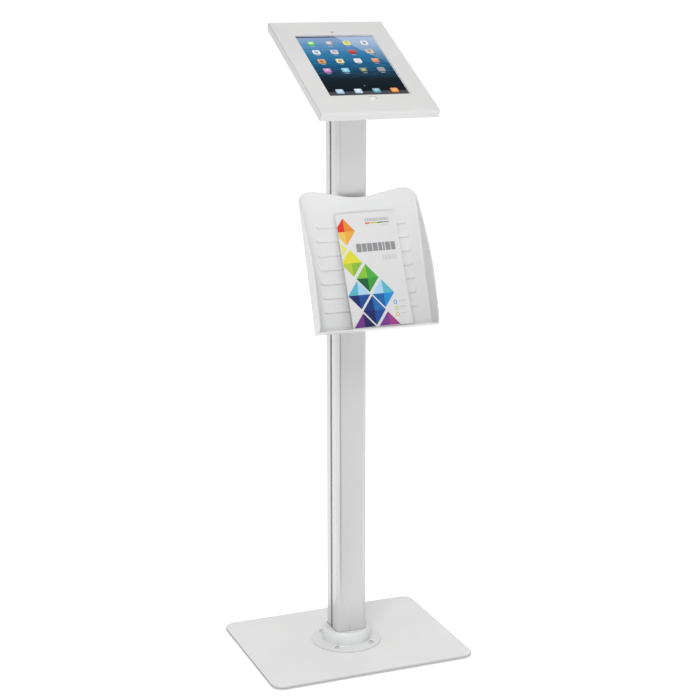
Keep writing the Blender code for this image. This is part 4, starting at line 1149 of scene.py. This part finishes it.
def dress(node, look):
    """Gives a CAD node its finish and, by modifiers, small round edges."""
    obj = frame["nodes"][node]
    mesh = obj.data
    if "custom_normal" in mesh.attributes:
        mesh.attributes.remove(mesh.attributes["custom_normal"])
    mesh.shade_smooth()
    mesh.materials.clear()
    mesh.materials.append(look)
    weld = obj.modifiers.new("weld", "WELD")
    weld.merge_threshold = 1e-6
    flat = obj.modifiers.new("flat_faces", "DECIMATE")
    flat.decimate_type = "DISSOLVE"
    flat.angle_limit = math.radians(0.5)
    bevel = obj.modifiers.new("round_edges", "BEVEL")
    bevel.width = ROUND_EDGE
    bevel.segments = 2
    bevel.limit_method = "ANGLE"
    bevel.angle_limit = BEVEL_ANGLE
    bevel.use_clamp_overlap = True
    smooth = obj.modifiers.new("smooth_by_angle", "NODES")
    smooth.node_group = angle_group()
    flat_look(obj)


def angle_group():
    """Geometry nodes that mark every edge above the sharp angle as sharp."""
    name = "smooth_by_angle"
    if name in bpy.data.node_groups:
        return bpy.data.node_groups[name]
    tree = bpy.data.node_groups.new(name, "GeometryNodeTree")
    tree.interface.new_socket("Geometry", in_out="INPUT", socket_type="NodeSocketGeometry")
    tree.interface.new_socket("Geometry", in_out="OUTPUT", socket_type="NodeSocketGeometry")
    nodes = Nodes(tree)
    angle = nodes.node("GeometryNodeInputMeshEdgeAngle")
    under = nodes.node("FunctionNodeCompare", operation="LESS_THAN")
    nodes.feed(under.inputs[0], angle.outputs["Unsigned Angle"])
    nodes.feed(under.inputs[1], SHARP_ANGLE)
    faces = nodes.node("GeometryNodeSetShadeSmooth",
                       {"Geometry": nodes.node("NodeGroupInput").outputs[0]})
    edges = nodes.node("GeometryNodeSetShadeSmooth",
                       {"Geometry": faces.outputs[0], "Shade Smooth": under.outputs[0]},
                       domain="EDGE")
    nodes.feed(nodes.node("NodeGroupOutput").inputs[0], edges.outputs[0])
    return tree


# ---- assembly


def main():
    bpy.context.scene.view_settings.view_transform = "Standard"
    make_camera()
    make_world()
    make_floor()
    softbox("key", (-1.5, -2.5, 3.1), (0, 0, 0.7), (1.3, 1.3), 52)
    softbox("lift", (-0.2, -1.5, 0.72), (0, 0, 0.99), (0.3, 0.3), 0.28, spread=34,
            mirrored=False)
    softbox("top", (0.6, 0.4, 3.2), (0, 0, 0.6), (2.2, 2.2), 6)

    looks = {
        "white_coat": powder_coat("white_powder_coat", (0.585, 0.585, 0.581), 0.36),
        "pole_coat": drawn_coat("satin_pole_coat", (0.62, 0.625, 0.62), 0.28),
        "white_plastic": moulded("white_moulding", (0.645, 0.648, 0.648), 0.32, 1400,
                                 0.003 * MM, gloss=0.4),
        "zinc_steel": plated("zinc_plate", (0.6, 0.61, 0.62), 0.34),
        "bright_steel": plated("bright_nickel", (0.74, 0.73, 0.71), 0.18),
        "black_rubber": rubber("black_rubber_skin"),
        "nylon": moulded("natural_nylon", (0.7, 0.69, 0.64), 0.48, 900, 0.014 * MM),
        "aluminium": plated("blasted_aluminium", (0.66, 0.67, 0.69), 0.44, (700, 700, 700)),
        "circuit_green": circuit_board("circuit_lacquer"),
        "cell_black": moulded("cell_pouch", (0.035, 0.035, 0.04), 0.42, 500, 0.02 * MM),
        "screen": moulded("unlit_panel", (0.012, 0.014, 0.02), 0.25, 2000, 0.002 * MM,
                          gloss=0.6),
        "glass": lit_screen("lit_front_glass"),
        "lens": camera_glass("camera_glass"),
        "paper": paper("coated_paper", (0.6, 0.6, 0.6)),
    }
    # Painted light: the base plate gets a lighter copy of the white powder coat, so its top reads brighter than
    # the head's face
    make_base(powder_coat("base_powder_coat", (0.83, 0.83, 0.826), 0.34))
    make_collar(moulded("collar_moulding", (0.77, 0.775, 0.775), 0.34, 1300, 0.004 * MM,
                        gloss=0.2))
    make_collar_screws(looks["bright_steel"])
    make_glass(looks["glass"])
    make_button(moulded("button_plastic", (0.74, 0.74, 0.74), 0.28, 1800, 0.004 * MM,
                        gloss=0.5))
    make_holder(looks["white_plastic"])
    make_leaflets(looks["paper"], printed("offset_ink"))
    for node, obj in frame["nodes"].items():
        if not obj.hide_render:
            dress(node, looks[SLOT[node]])


main()
